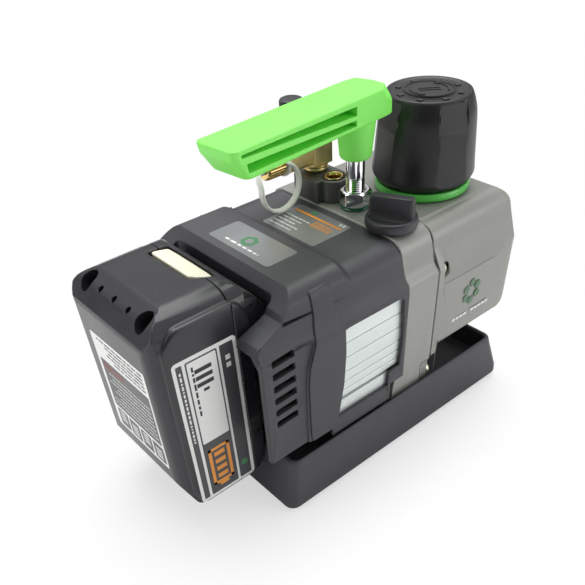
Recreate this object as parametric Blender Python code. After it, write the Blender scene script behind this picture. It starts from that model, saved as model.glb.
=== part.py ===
"""Cordless HVAC vacuum pump, modelled as its separate pieces.

Sizes are in millimetres; point() scales them to metres.
Frame: +X runs from the battery (rear) to the oil tank (front), +Z is up, -Y is the near side.
The origin is on the ground under the middle of the whole machine.
Lengths along X are measured from the middle of the base tray, and AXIS_X0 moves them
into the frame.
Pieces are shaped by boolean modifiers, whose helper solids stay in the scene as wires.
"""
import math

import bmesh
import bpy
from mathutils import Matrix, Vector

# ------------------------------------------------------------ shared sizes
MM = 0.001
AXIS_X0 = 20.0              # base tray middle, measured from the frame's origin
GAP = 0.3                   # clearance kept between neighbouring pieces
SIDES = (("near", -1), ("far", 1))

SHAFT_Z = 78.0              # motor and pump axis above the ground
SHAFT_C = (0, SHAFT_Z)      # the same axis as (y, z)
SHAFT_R = 4.0
SHAFT_BORE_R = SHAFT_R + GAP
FLANGE_TOP = 124.4          # top of the flange and of the oil tank
SEAT_Z = FLANGE_TOP + GAP   # underside of the pieces that sit on it
SCREW_HOLE_R = 2.8
BASE_SCREW_X, BASE_SCREW_Y = 6, 38
BAT_HALF_W = 37.4
BLADE_Y = 10                # dock blades, either side of the middle

# places on top of the machine, as (x, y)
FILTER_C = (56.5, -11.2)
POST_C = (11.0, -4.5)
KNOB_C = (7.6, -34.2)
PORT_C = (10.5, 11.5)
TEE_C = (10.4, 25.7)

# upper half outline shared by flange and tank (y, z)
CASTING_TOP = [
    (0, FLANGE_TOP), (42.5, FLANGE_TOP), (44.8, 123.6), (47.2, 121.8), (49.3, 119.0),
    (51.0, 115.3), (53.0, 108.0), (54.2, 105.6), (57.4, 102.2)]


# ----------------------------------------------------------- points, outlines
def point(x, y, z):
    """A point in millimetres, measured from the tray's middle, in metres."""
    return Vector(((x + AXIS_X0) * MM, y * MM, z * MM))


def plane_point(axis, first, second, height):
    """Point of the plane across an axis: (y, z) for X, (x, z) for Y, (x, y) for Z."""
    if axis == 'X':
        return point(height, first, second)
    if axis == 'Y':
        return point(first, height, second)
    return point(first, second, height)


def turned(along, across, angle, centre=(0, 0)):
    """Plane point, turned by an angle in radians about the centre it is measured from."""
    cos, sin = math.cos(angle), math.sin(angle)
    return (centre[0] + along * cos - across * sin, centre[1] + along * sin + across * cos)


def turned_ring(outline, angle, centre, z):
    return [point(*turned(along, across, angle, centre), z) for along, across in outline]


def side_span(side, inner, outer):
    """Range in y between two distances from the middle, on side -1 or +1."""
    return sorted((side * inner, side * outer))


def rectangle(x0, x1, y0, y1):
    return [(x0, y0), (x1, y0), (x1, y1), (x0, y1)]


def hexagon(centre, radius, turn=0):
    return [turned(radius, 0, math.radians(60 * i + turn), centre) for i in range(6)]


def arc(centre, radius, start, end, steps=5):
    return [turned(radius, 0, math.radians(start + (end - start) * i / steps), centre)
            for i in range(steps + 1)]


def rounded(half_x, half_y, radius, steps=5, centre=(0, 0)):
    """Rectangle with rounded corners."""
    points = []
    for side_x, side_y, start in ((1, 1, 0), (-1, 1, 90), (-1, -1, 180), (1, -1, 270)):
        corner = (centre[0] + side_x * (half_x - radius), centre[1] + side_y * (half_y - radius))
        points += arc(corner, radius, start, start + 90, steps)
    return points


def mirror_y(half):
    """Half outline with y >= 0, listed from top to bottom, made whole."""
    return half + [(-y, z) for y, z in reversed(half) if y > 1e-6]


def tube(inner, outer, low, high):
    """Profile (radius, height) of a tube."""
    return [(outer, high), (outer, low), (inner, low), (inner, high)]


def rod(radius, low, high, chamfer=0.0):
    """Profile (radius, height) of a solid round bar, chamfered at both ends."""
    if chamfer <= 0:
        return [(0, high), (radius, high), (radius, low), (0, low)]
    return [(0, high), (radius - chamfer, high), (radius, high - chamfer),
            (radius, low + chamfer), (radius - chamfer, low), (0, low)]


# ------------------------------------------------------------------- solids
def finish(name, shape, mat=None):
    """Make an object of a bmesh; without a material it is a hidden helper."""
    bmesh.ops.remove_doubles(shape, verts=shape.verts, dist=1e-7)
    bmesh.ops.recalc_face_normals(shape, faces=shape.faces)
    mesh = bpy.data.meshes.new(name)
    shape.to_mesh(mesh)
    shape.free()
    obj = bpy.data.objects.new(name, mesh)
    bpy.context.collection.objects.link(obj)
    if mat is None:
        obj.hide_render = True
        obj.display_type = 'WIRE'
    else:
        mesh.materials.append(mat)
        mesh.shade_smooth()
        mesh.set_sharp_from_angle(angle=math.radians(30.0))
    return obj


def add_prism(shape, outline, axis, low, high):
    verts = [shape.verts.new(plane_point(axis, *pair, low)) for pair in outline]
    result = bmesh.ops.extrude_face_region(shape, geom=[shape.faces.new(verts)])
    top = [part for part in result['geom'] if isinstance(part, bmesh.types.BMVert)]
    shift = plane_point(axis, 0, 0, high) - plane_point(axis, 0, 0, low)
    bmesh.ops.translate(shape, verts=top, vec=shift)


def add_box(shape, x, y, z):
    add_prism(shape, rectangle(*x, *y), 'Z', *z)


def add_loft(shape, rings):
    """Closed solid through rings of points that all have the same count."""
    loops = [[shape.verts.new(place) for place in ring] for ring in rings]
    count = len(loops[0])
    for lower, upper in zip(loops, loops[1:]):
        for i in range(count):
            j = (i + 1) % count
            shape.faces.new((lower[i], lower[j], upper[j], upper[i]))
    shape.faces.new(list(reversed(loops[0])))
    shape.faces.new(loops[-1])


def add_lathe(shape, profile, axis, centre, steps=32):
    """Closed profile (radius, height) spun about an axis; centre is the pair across it."""
    along = Vector([float(axis == letter) for letter in 'XYZ'])
    outward = Vector((0, 1, 0)) if axis == 'X' else Vector((1, 0, 0))
    verts = [shape.verts.new(plane_point(axis, *centre, height) + outward * (radius * MM))
             for radius, height in profile]
    edges = []
    for i, vert in enumerate(verts):
        j = (i + 1) % len(verts)
        if profile[i][0] != 0 or profile[j][0] != 0:
            edges.append(shape.edges.new((vert, verts[j])))
    bmesh.ops.spin(shape, geom=verts + edges, cent=plane_point(axis, *centre, 0), axis=along,
                   angle=2 * math.pi, steps=steps, use_merge=True, use_duplicate=False)
    bmesh.ops.remove_doubles(shape, verts=shape.verts, dist=2e-7)


def prism(name, outline, axis, low, high, mat=None):
    shape = bmesh.new()
    add_prism(shape, outline, axis, low, high)
    return finish(name, shape, mat)


def box(name, x, y, z, mat=None):
    shape = bmesh.new()
    add_box(shape, x, y, z)
    return finish(name, shape, mat)


def loft(name, rings, mat=None):
    shape = bmesh.new()
    add_loft(shape, rings)
    return finish(name, shape, mat)


def lathe(name, profile, axis, centre, steps=32, mat=None):
    shape = bmesh.new()
    add_lathe(shape, profile, axis, centre, steps)
    return finish(name, shape, mat)


def boolean(obj, helpers, operation):
    for helper in helpers:
        modifier = obj.modifiers.new(f"{operation.lower()[:3]}_{helper.name}", 'BOOLEAN')
        modifier.operation = operation
        modifier.object = helper
        modifier.solver = 'EXACT'


def cut(obj, *helpers):
    boolean(obj, helpers, 'DIFFERENCE')


def add(obj, *helpers):
    boolean(obj, helpers, 'UNION')


def keep(obj, *helpers):
    boolean(obj, helpers, 'INTERSECT')


def set_origin(obj, x, y, z):
    """Put an object's origin on its joint axis without moving its mesh."""
    origin = point(x, y, z)
    obj.data.transform(Matrix.Translation(-origin))
    obj.location = origin


def clear_scene():
    for obj in list(bpy.data.objects):
        bpy.data.objects.remove(obj, do_unlink=True)
    for mesh in list(bpy.data.meshes):
        bpy.data.meshes.remove(mesh)


clear_scene()


# ---------------------------------------------------------------- materials
def material(name, rgb, rough, metal=0.0, alpha=1.0):
    mat = bpy.data.materials.new(name)
    mat.use_nodes = True
    inputs = mat.node_tree.nodes["Principled BSDF"].inputs
    inputs["Base Color"].default_value = (*rgb, 1.0)
    inputs["Roughness"].default_value = rough
    inputs["Metallic"].default_value = metal
    inputs["Alpha"].default_value = alpha
    mat.diffuse_color = (*rgb, 1.0)
    return mat


BLACK = material("black_plastic", rgb=(0.045, 0.045, 0.05), rough=0.48)
TRAY_BLACK = material("tray_rubberised", rgb=(0.05, 0.05, 0.055), rough=0.6)
CAST = material("grey_cast", rgb=(0.34, 0.345, 0.32), rough=0.45, metal=0.3)
DARK_CAST = material("dark_cast", rgb=(0.06, 0.06, 0.062), rough=0.45, metal=0.3)
ALUMINIUM = material("bare_aluminium", rgb=(0.66, 0.7, 0.7), rough=0.35, metal=0.9)
STEEL = material("steel", rgb=(0.6, 0.6, 0.62), rough=0.3, metal=1.0)
CHROME = material("chrome", rgb=(0.8, 0.8, 0.82), rough=0.08, metal=1.0)
BRASS = material("brass", rgb=(0.62, 0.45, 0.16), rough=0.28, metal=1.0)
GREEN = material("green_plastic", rgb=(0.21, 0.86, 0.14), rough=0.42)
CREAM = material("cream_plastic", rgb=(0.9, 0.88, 0.72), rough=0.45)
WHITE = material("white_plastic", rgb=(0.88, 0.88, 0.84), rough=0.5)
RUBBER = material("black_rubber", rgb=(0.03, 0.03, 0.03), rough=0.8)
COPPER = material("copper", rgb=(0.72, 0.32, 0.14), rough=0.35, metal=1.0)
IRON = material("lamination_steel", rgb=(0.25, 0.25, 0.27), rough=0.5, metal=0.8)
BOARD = material("circuit_board", rgb=(0.03, 0.22, 0.1), rough=0.5)
CELL_WRAP = material("cell_wrap", rgb=(0.12, 0.3, 0.55), rough=0.4)
GLASS = material("sight_glass", rgb=(0.85, 0.9, 0.9), rough=0.05, alpha=0.35)
FELT = material("filter_felt", rgb=(0.8, 0.78, 0.7), rough=0.9)

# ---------------------------------------------------------------- base tray
TRAY_HALF_L, TRAY_HALF_W = 183.2 / 2, 124.0 / 2
TRAY_BOT, TRAY_TOP = 2.0, 35.5
TRAY_FLOOR, TRAY_FLOOR_T = 22.0, 3.0
FOOT_X, FOOT_Y = 78, 47
# inset of the rear, front and side walls, corner radius, z
TRAY_LEVELS = [
    (0.8, 0.8, 0.8, 14, TRAY_BOT), (0, 0, 0, 14.5, TRAY_BOT + 1.0), (0.9, 1.2, 0.2, 14.3, 10.0),
    (4.2, 12.4, 1.0, 13, TRAY_TOP - 1.5), (5.2, 13.6, 2.2, 12, TRAY_TOP)]


def make_base_tray():
    """Tray with walls that lean in towards the top, hollow above and below its floor."""
    rings = []
    for rear, front, side, radius, z in TRAY_LEVELS:
        outline = rounded(TRAY_HALF_L - (rear + front) / 2, TRAY_HALF_W - side, radius,
                          centre=((rear - front) / 2, 0))
        rings.append([point(x, y, z) for x, y in outline])
    tray = loft("base_tray", rings, TRAY_BLACK)
    pocket = rounded(TRAY_HALF_L - 11.8, 58.4, 9, centre=(-4.2, 0))
    under_x = rounded(TRAY_HALF_L - 8.2, 34, 4, centre=(-3.8, 0))
    under_top = TRAY_FLOOR - TRAY_FLOOR_T
    cut(tray,
        prism("cut_tray_pocket", pocket, 'Z', TRAY_FLOOR, 50),
        prism("cut_tray_under_x", under_x, 'Z', -5, under_top),
        prism("cut_tray_under_y", rounded(64, 57.5, 4), 'Z', -5, under_top))
    return tray


def make_feet(tray):
    """Rubber feet whose stems push into the tray from below."""
    profile = [(0, 1.7), (0, 0), (7.0, 0), (8.0, 0.8), (8.0, 1.7), (3.0, 1.7), (3.0, 11), (0, 11)]
    for end, x in (("front", FOOT_X), ("rear", -FOOT_X)):
        for side_name, side in SIDES:
            name = f"foot_{end}_{side_name}"
            place = (x, side * FOOT_Y)
            cut(tray, lathe("cut_" + name, rod(3.3, -3, 12), 'Z', place, 16))
            lathe(name, profile, 'Z', place, 20, RUBBER)


def make_base_screws(tray):
    """Screws up through the tray floor into the pump flange's feet."""
    profile = [(0, 40), (2.4, 40), (2.4, 18.7), (5.0, 18.7), (5.0, 15.2), (0, 15.2)]
    for side_name, side in SIDES:
        name = "base_screw_" + side_name
        place = (BASE_SCREW_X, side * BASE_SCREW_Y)
        cut(tray, lathe("cut_" + name, rod(SCREW_HOLE_R, 10, 30), 'Z', place, 16))
        lathe(name, profile, 'Z', place, 16, STEEL)


# ------------------------------------------------------- pump flange casting
FLANGE_X = (-1.5, 21.6)
FLANGE_HALF = CASTING_TOP + [(57.4, 22.3), (0, 22.3)]
POST_R, POST_HOLE_R = 4.9, 5.3
FOOT_SCREW_Y, FOOT_SCREW_Z = 52.2, 35.4


def make_pump_flange():
    """Cross wall between motor and tank, standing on two feet."""
    flange = prism("pump_flange", mirror_y(FLANGE_HALF), 'X', *FLANGE_X, CAST)
    for name, side in SIDES:
        add(flange, box("add_foot_" + name, (-9.6, 5), side_span(side, 35, 57.2), (22.4, 46.2)))
    # stepped bore: seal pocket in front, bearing pocket behind
    shaft_way = [(0, 30), (9.3, 30), (9.3, 15.6), (6.0, 15.6), (6.0, 7.6), (11.3, 7.6),
                 (11.3, -5), (0, -5)]
    cut(flange,
        lathe("cut_shaft_way", shaft_way, 'X', SHAFT_C),
        lathe("cut_post_hole", rod(POST_HOLE_R, 104, 130), 'Z', POST_C, 20),
        lathe("cut_knob_hole", rod(5.1, 108, 130), 'Z', KNOB_C, 20),
        lathe("cut_inlet_way", rod(3.5, 102, 130), 'Z', TEE_C, 16))
    screw = [(0, 26.2), (2.6, 26.1), (4.0, 25.0), (4.2, 24.0), (4.2, 21.9), (2.5, 21.9),
             (2.5, 12.5), (0, 12.5)]
    for name, side in SIDES:
        # beyond X 14 the lower corner steps in, and a screw enters its end
        base_place = (BASE_SCREW_X, side * BASE_SCREW_Y)
        place = (side * FOOT_SCREW_Y, FOOT_SCREW_Z)
        cut(flange,
            lathe("cut_flange_base_" + name, rod(SCREW_HOLE_R, 15, 42), 'Z', base_place, 16),
            box("cut_foot_step_" + name, (14.0, 30), side_span(side, 56.4, 60), (20, 46.0)),
            lathe("cut_foot_screw_" + name, rod(SCREW_HOLE_R, 12, 30), 'X', place, 14))
        lathe("foot_screw_" + name, screw, 'X', place, 18, STEEL)
    return flange


def make_bearings_and_seal():
    seal = [(9.0, 21.2), (9.0, 16.0), (4.6, 16.0), (4.6, 18.0), (6.4, 19.4), (6.4, 21.2)]
    lathe("front_bearing", tube(SHAFT_BORE_R, 11.0, -1.2, 7.2), 'X', SHAFT_C, 32, STEEL)
    lathe("rear_bearing", tube(SHAFT_BORE_R, 8.1, -58.9, -54.1), 'X', SHAFT_C, 28, STEEL)
    lathe("shaft_seal", seal, 'X', SHAFT_C, 28, RUBBER)


# ------------------------------------------------------------------- motor
MOTOR_FRONT_X = -1.9        # front end of the motor housing and of its cover
# half outline across X (y, z)
HOUSING_HALF = [(26, 115), (42, 104), (44, 99.3), (55.9, 99.3), (55.9, 43.5), (44, 43.5),
                (42, 41.5), (26, 40)]
FIN_GROOVE_Z = (89.2, 80.2, 71.5, 65.6, 60.3)
TEETH = 9
STATOR_IN_R, SLOT_R, STATOR_OUT_R = 18.7, 27.0, 32.7
SLOT_HALF_W = 3.7
FAN_BLADES = 9
BLADE_ENDS = ((7.6, 2.6), (29.0, 3.6))      # radius, half width across the blade
# x range, y range, height above the board
BOARD_PARTS = [
    (-54, -44, -18, -8, 2.0), (-40, -30, -18, -8, 2.0), (-26, -16, -18, -8, 2.0),
    (-52, -40, 4, 16, 1.6), (-30, -22, 6, 14, 1.4)]


def make_motor_housing():
    """Block round the motor with grooves along both sides."""
    housing = prism("motor_housing", mirror_y(HOUSING_HALF), 'X', -52.0, MOTOR_FRONT_X, ALUMINIUM)
    cut(housing, lathe("cut_motor_bore", rod(33.0, -60, 5), 'X', SHAFT_C, 48))
    for side in (-1, 1):
        grooves = [[(54.9, z), (56.6, z - 0.7), (56.6, z + 0.7)] for z in FIN_GROOVE_Z]
        grooves.append([(53.0, 54.4), (57, 54.2), (57, 56.6), (53.0, 56.4)])
        shape = bmesh.new()
        for groove in grooves:
            add_prism(shape, [(side * y, z) for y, z in groove], 'X', -60, 5)
        cut(housing, finish(f"cut_fin_lines_{side + 1}", shape),
            box(f"cut_housing_corner_{side + 1}", (-12.2, 5), side_span(side, 33.6, 60),
                (30, 55.4)))


def make_rear_end_bell():
    """Stepped disc behind the motor with a ring of six vents."""
    profile = [(36.0, -52.3), (36.0, -59.0), (8.4, -59.0), (8.4, -53.8), (5.0, -53.8),
               (5.0, -52.3)]
    bell = lathe("rear_end_bell", profile, 'X', SHAFT_C, 48, ALUMINIUM)
    vents = bmesh.new()
    for centre in hexagon(SHAFT_C, 22, turn=30):
        add_lathe(vents, rod(6.0, -62, -50), 'X', centre, 16)
    cut(bell, finish("cut_bell_vents", vents))


def make_stator_core():
    """Ring of laminations with one slot per tooth opening into the bore."""
    outline = []
    bore_turn = math.asin(SLOT_HALF_W / STATOR_IN_R)
    deep_turn = math.asin(SLOT_HALF_W / SLOT_R)
    for i in range(TEETH):
        for radius, turn in ((STATOR_IN_R, -bore_turn), (SLOT_R, -deep_turn), (SLOT_R, 0),
                             (SLOT_R, deep_turn), (STATOR_IN_R, bore_turn),
                             (STATOR_IN_R, math.pi / TEETH)):
            outline.append(turned(radius, 0, 2 * math.pi * i / TEETH + turn, SHAFT_C))
    core = lathe("stator_core", rod(STATOR_OUT_R, -45.0, -19.0), 'X', SHAFT_C, 45, IRON)
    cut(core, prism("cut_stator_slots", outline, 'X', -60, 0))


def make_stator_windings():
    """Copper tube with windows where the stator's teeth pass through."""
    windings = lathe("stator_windings", tube(19.6, 26.5, -50.8, -9.0), 'X', SHAFT_C, 45, COPPER)
    outer = 27.2 * math.sin(math.pi / TEETH) - 3.2 + 0.5    # half widths of a window
    inner = 19.0 * math.sin(math.pi / TEETH) - 3.2 + 0.3
    window = [(17.5, -inner), (28.5, -outer), (28.5, outer), (17.5, inner)]
    shape = bmesh.new()
    for i in range(TEETH):
        angle = 2 * math.pi * (i + 0.5) / TEETH
        outline = [turned(along, across, angle, SHAFT_C) for along, across in window]
        add_prism(shape, outline, 'X', -45.5, -18.5)
    cut(windings, finish("cut_winding_windows", shape))


def make_shaft_and_magnets():
    lathe("motor_shaft", rod(SHAFT_R, -69.0, 57.0, 0.5), 'X', SHAFT_C, 24, STEEL)
    magnets = tube(SHAFT_BORE_R, 18.2, -47.0, -17.0)
    lathe("rotor_magnets", magnets, 'X', SHAFT_C, 36, DARK_CAST)


def make_cooling_fan():
    """Hub with slanted blades, behind the end bell."""
    fan = lathe("cooling_fan", tube(SHAFT_BORE_R, 8.5, -69.3, -61.0), 'X', SHAFT_C, 28, BLACK)
    blades = bmesh.new()
    for i in range(FAN_BLADES):
        angle = 2 * math.pi * i / FAN_BLADES
        rings = []
        for radius, half in BLADE_ENDS:
            section = [(-half, -68.8), (-half + 1.2, -68.8), (half, -61.6), (half - 1.2, -61.6)]
            rings.append([point(x, *turned(radius, across, angle, SHAFT_C))
                          for across, x in section])
        add_loft(blades, rings)
    add(fan, finish("add_fan_blades", blades))


def make_control_board():
    """Circuit board above the motor with its block-shaped parts."""
    board_top = 118.2
    board = box("control_board", (-60.0, -10.0), (-24.0, 24.0), (116.6, board_top), BOARD)
    parts = bmesh.new()
    for x0, x1, y0, y1, height in BOARD_PARTS:
        add_box(parts, (x0, x1), (y0, y1), (board_top - 0.4, board_top + height))
    add(board, finish("add_board_parts", parts))


# ------------------------------------------------------------- motor cover
COVER_X0 = -98.2
# half outlines across X (y, z)
COVER_HALF = [
    (0, 130), (41.0, 130), (41.0, 126.4), (44.0, 125.4), (47.2, 122.8), (49.8, 119.3),
    (51.8, 115.2), (54.4, 108.2), (58.4, 101.4), (58.4, 30), (0, 30)]
COVER_IN_HALF = [
    (0, 121.0), (40.0, 121.0), (43.5, 120.0), (47.4, 116.5), (52.0, 107.0), (56.3, 100.5),
    (56.3, 20), (0, 20)]
# side outlines (x, z)
COVER_SIDE = [
    (COVER_X0, 41.6), (-57, 41.6), (-57, 35.9), (MOTOR_FRONT_X, 35.9), (MOTOR_FRONT_X, 123.4),
    (-36, 123.4), (-39, 126.4), (-69.5, 126.4), (-75, 121.5), (-79.2, 119.2), (-80, 115.8),
    (-86, 113.5), (-96.5, 109.6), (COVER_X0, 108.0)]
WINDOW = [(-52.6, 46.5), (-11.8, 46.5), (-11.8, 55.6), (-6.0, 56.6), (-6.0, 99.0), (-47.0, 99.0)]
VENT_STEP = [
    (-105, 30), (-73.2, 30), (-73.3, 50), (-73.0, 82), (-71.8, 89), (-66.8, 103), (-62.2, 116),
    (-61.6, 128), (-105, 128)]
VENTS, VENT_TOP_Z, VENT_PITCH = 6, 101.8, 7.25


def make_motor_cover():
    """Cover over the motor, with the battery bay open to the rear."""
    cover = prism("motor_cover", mirror_y(COVER_HALF), 'X', COVER_X0 - 2, MOTOR_FRONT_X, BLACK)
    keep(cover, prism("keep_cover_side", COVER_SIDE, 'Y', -70, 70))
    bay_half = BAT_HALF_W + 2.0
    cut(cover,
        prism("cut_cover_inside", mirror_y(COVER_IN_HALF), 'X', -71.6, 10),
        box("cut_bay", (-110, -74.4), (-bay_half, bay_half), (10, 150)))
    for side in (-1, 1):
        tag = side + 1
        wall = side_span(side, 50.0, 65.0)
        vents = bmesh.new()
        for i in range(VENTS):
            z = VENT_TOP_Z - VENT_PITCH * i
            vent = [(-91.8, z - 2.1), (-78.6, z - 1.9), (-78.6, z + 1.9), (-91.8, z + 1.7)]
            add_prism(vents, vent, 'Y', *wall)
        cut(cover,
            box(f"cut_cheek_{tag}", (-95.6, -71.0), side_span(side, 42.5, 55.0), (20, 105.5)),
            prism(f"cut_window_{tag}", WINDOW, 'Y', *wall),
            prism(f"cut_vent_step_{tag}", VENT_STEP, 'Y', *side_span(side, 57.2, 62.0)),
            finish(f"cut_vents_{tag}", vents))
    # the lower front corners clear the flange's feet
    for side in (-1, 1):
        cut(cover, box(f"cut_foot_notch_{side + 1}", (-12.2, 5), side_span(side, 34, 70),
                       (30, 46.6)))
    # rocker switch opening in the +Y wall
    cut(cover, box("cut_switch", (-67.8, -56.2), (50, 65), (58.0, 80.0)))


def make_switch():
    """Bezel and rocker; the rocker turns about an axis along X."""
    bezel = box("switch_bezel", (-69.5, -54.5), (58.75, 59.9), (56.0, 82.0), BLACK)
    add(bezel, box("add_switch_body", (-67.3, -56.7), (50.2, 59.0), (58.6, 79.4)))
    cut(bezel, box("cut_rocker_well", (-66.2, -57.8), (52.0, 62.0), (60.0, 78.0)))
    rocker_y, rocker_z = 56.4, 69.0
    outline = [(54.6, 63.2), (57.0, 61.0), (60.4, 61.1), (59.6, rocker_z), (61.6, 76.9),
               (57.0, 77.0), (54.6, 74.8)]
    rocker = prism("switch_rocker", outline, 'X', -65.8, -58.2, RUBBER)
    set_origin(rocker, -62.0, rocker_y, rocker_z)


# ------------------------------------------------------------ battery dock
RAIL_NECK_HALF, RAIL_HEAD_HALF = 18.0, 22.0
RAIL_X1 = -81.0             # front of the rail head
RAIL_BOT = 46.0
RAIL_PLAY = 0.5


def make_battery_dock():
    """Block with a T slot for the battery's rail, and two contact blades."""
    dock = box("battery_dock", (-86.2, -74.7), (-30.0, 30.0), (42.0, 94.4), BLACK)
    neck = RAIL_NECK_HALF + RAIL_PLAY
    head = RAIL_HEAD_HALF + RAIL_PLAY
    slot_z = (RAIL_BOT - RAIL_PLAY, 99)
    cut(dock,
        box("cut_rail_neck", (-90, -84.7), (-neck, neck), slot_z),
        box("cut_rail_head", (-85.1, RAIL_X1 + RAIL_PLAY), (-head, head), slot_z))
    for name, y in (("dock_blade_neg", -BLADE_Y), ("dock_blade_pos", BLADE_Y)):
        cut(dock, box("cut_" + name, (-82, -76.5), (y - 0.9, y + 0.9), (51.7, 72.3)))
        box(name, (-83.6, -76.9), (y - 0.5, y + 0.5), (52.0, 72.0), BRASS)


# ------------------------------------------------------------- pump module
PUMP_R = 23.5
PUMP_X = (22.0, 52.0)
PUMP_MID_X = sum(PUMP_X) / 2
BORE_R, BORE_RISE = 16.6, 2.2       # the bore sits above the shaft axis
ROTOR_R = 14.0
VANE_IN_Y, VANE_HALF_T = 6.6, 1.5


def make_pump_cylinder():
    cylinder = lathe("pump_cylinder", rod(PUMP_R, *PUMP_X), 'X', SHAFT_C, 40, CAST)
    cut(cylinder,
        lathe("cut_pump_bore", rod(BORE_R, 10, 60), 'X', (0, SHAFT_Z + BORE_RISE), 40),
        lathe("cut_exhaust_way", rod(2.5, 92, 110), 'Z', (PUMP_MID_X, -6), 12))
    lathe("pump_end_plate", tube(SHAFT_BORE_R, PUMP_R, 52.4, 58.0), 'X', SHAFT_C, 40, CAST)


def make_pump_rotor():
    """Rotor with two vanes lying along Y in their slots."""
    rotor = lathe("pump_rotor", tube(SHAFT_BORE_R, ROTOR_R, 22.5, 51.6), 'X', SHAFT_C, 36, STEEL)
    slot_half = VANE_HALF_T + GAP
    for side_name, side in SIDES:
        name = "vane_" + side_name
        cut(rotor, box("cut_slot_" + name, (10, 60), side_span(side, VANE_IN_Y - 0.4, 20),
                       (SHAFT_Z - slot_half, SHAFT_Z + slot_half)))
        vane = box(name, (22.7, 51.4), side_span(side, VANE_IN_Y, ROTOR_R - 0.2),
                   (SHAFT_Z - VANE_HALF_T, SHAFT_Z + VANE_HALF_T), IRON)
        set_origin(vane, PUMP_MID_X, side * 10, SHAFT_Z)


# ----------------------------------------------------------------- oil tank
TANK_X0 = 22.7
SIGHT_C, DRAIN_C = (0, 80), (26, 65)        # (y, z) on the tank's front
TANK_SCREW_Y, TANK_SCREW_Z = 50.6, 98.6
# half outlines across X (y, z)
TANK_HALF = CASTING_TOP + [(57.4, 54.5), (56.2, 51.6), (53.0, 50.0), (0, 50.0)]
TANK_IN_HALF = [
    (0, 120.9), (41.5, 120.9), (45.5, 118.6), (49.2, 108.0), (53.9, 100.8), (53.9, 56.0),
    (52, 53.4), (0, 53.4)]
PLATE_HALF = [
    (0, 123.0), (41.0, 123.0), (50.0, 114.0), (56.9, 101.5), (56.9, 48.0), (55.0, 45.4),
    (51.0, 44.6), (0, 44.6)]
GASKET_HALF = [
    (0, 123.4), (42.0, 123.4), (46.6, 121.0), (50.2, 114.9), (53.4, 105.2), (56.6, 101.8),
    (56.6, 48.2), (54.8, 45.8), (51.0, 45.0), (0, 45.0)]
GASKET_IN_HALF = [(0, 118), (40, 118), (42.3, 108), (42.3, 54), (0, 54)]
# side outlines (x, z)
TANK_SIDE = [
    (TANK_X0, 49.6), (60.0, 49.8), (70.0, 50.6), (81.0, 52.3), (86.5, 53.6), (90.0, 56.6),
    (92.2, 61.5), (93.0, 68.0), (93.0, 78.0), (91.8, 92.0), (89.6, 106.0), (87.8, 115.0),
    (86.0, 119.6), (83.0, 122.8), (79.0, 124.4), (TANK_X0, 124.4)]
TANK_IN_SIDE = [
    (0, 53.2), (70.0, 53.6), (84.0, 56.0), (89.4, 66.0), (89.4, 78.0), (86.2, 105.0),
    (84.0, 115.0), (80.0, 120.9), (0, 120.9)]


def make_oil_tank():
    """Hollow casting with a rear end plate, a filter neck and two bosses in front."""
    tank = prism("oil_tank", mirror_y(TANK_HALF), 'X', TANK_X0, 96, CAST)
    keep(tank, prism("keep_tank_side", TANK_SIDE, 'Y', -70, 70))
    add(tank, prism("add_end_plate", mirror_y(PLATE_HALF), 'X', TANK_X0 - 0.1, 27.2))
    keep(tank, box("keep_tank_front", (TANK_X0, 110), (-70, 70), (30, 150)))
    add(tank,
        lathe("add_filter_neck", rod(19.0, 119, 141.0, 0.8), 'Z', FILTER_C, 40),
        lathe("add_sight_boss", rod(14.6, 84, 93.6, 0.4), 'X', SIGHT_C, 32),
        lathe("add_drain_boss", rod(8.6, 84, 93.6, 0.4), 'X', DRAIN_C, 24))
    inside = prism("cut_tank_inside", mirror_y(TANK_IN_HALF), 'X', 10, 96)
    keep(inside, prism("keep_tank_inside", TANK_IN_SIDE, 'Y', -70, 70))
    cut(tank, inside,
        lathe("cut_filter_way", rod(16.4, 110, 150), 'Z', FILTER_C, 36),
        lathe("cut_sight_way", rod(11.6, 80, 100), 'X', SIGHT_C, 32),
        lathe("cut_drain_way", rod(4.4, 80, 100), 'X', DRAIN_C, 20))
    return tank, inside


def make_tank_screws(tank, inside, flange, gasket):
    """Screws through solid ears, which the tank's cavity leaves inside the side walls."""
    profile = [(0, 33.2), (4.2, 33.2), (4.2, 28.4), (2.5, 28.4), (2.5, 9.0), (0, 9.0)]
    z = TANK_SCREW_Z
    for side_name, side in SIDES:
        name = "tank_screw_" + side_name
        place = (side * TANK_SCREW_Y, z)
        cut(inside, box("leave_ear_" + name, (0, 42), side_span(side, 43.0, 70.0),
                        (z - 8.5, z + 8.5)))
        cut(tank,
            box("cut_pocket_" + name, (28.0, 39.0), side_span(side, 45.2, 62.0), (z - 5, z + 5)),
            lathe("cut_hole_" + name, rod(SCREW_HOLE_R, 10, 30), 'X', place, 14))
        cut(flange, lathe("cut_tap_" + name, rod(SCREW_HOLE_R, 8, 30), 'X', place, 14))
        cut(gasket, lathe("cut_gasket_" + name, rod(2.9, 10, 30), 'X', place, 14))
        lathe(name, profile, 'X', place, 16, STEEL)


def make_tank_gasket():
    gasket = prism("tank_gasket", mirror_y(GASKET_HALF), 'X', 21.9, 22.4, RUBBER)
    cut(gasket, prism("cut_gasket_inside", mirror_y(GASKET_IN_HALF), 'X', 10, 30))
    return gasket


def make_sight_glass():
    bezel = [(13.6, 96.4), (13.6, 93.9), (11.3, 93.9), (11.3, 86.5), (9.0, 86.5), (9.0, 96.4)]
    lathe("sight_bezel", bezel, 'X', SIGHT_C, 32, CHROME)
    lathe("sight_glass", rod(8.7, 91.0, 95.6), 'X', SIGHT_C, 28, GLASS)


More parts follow.
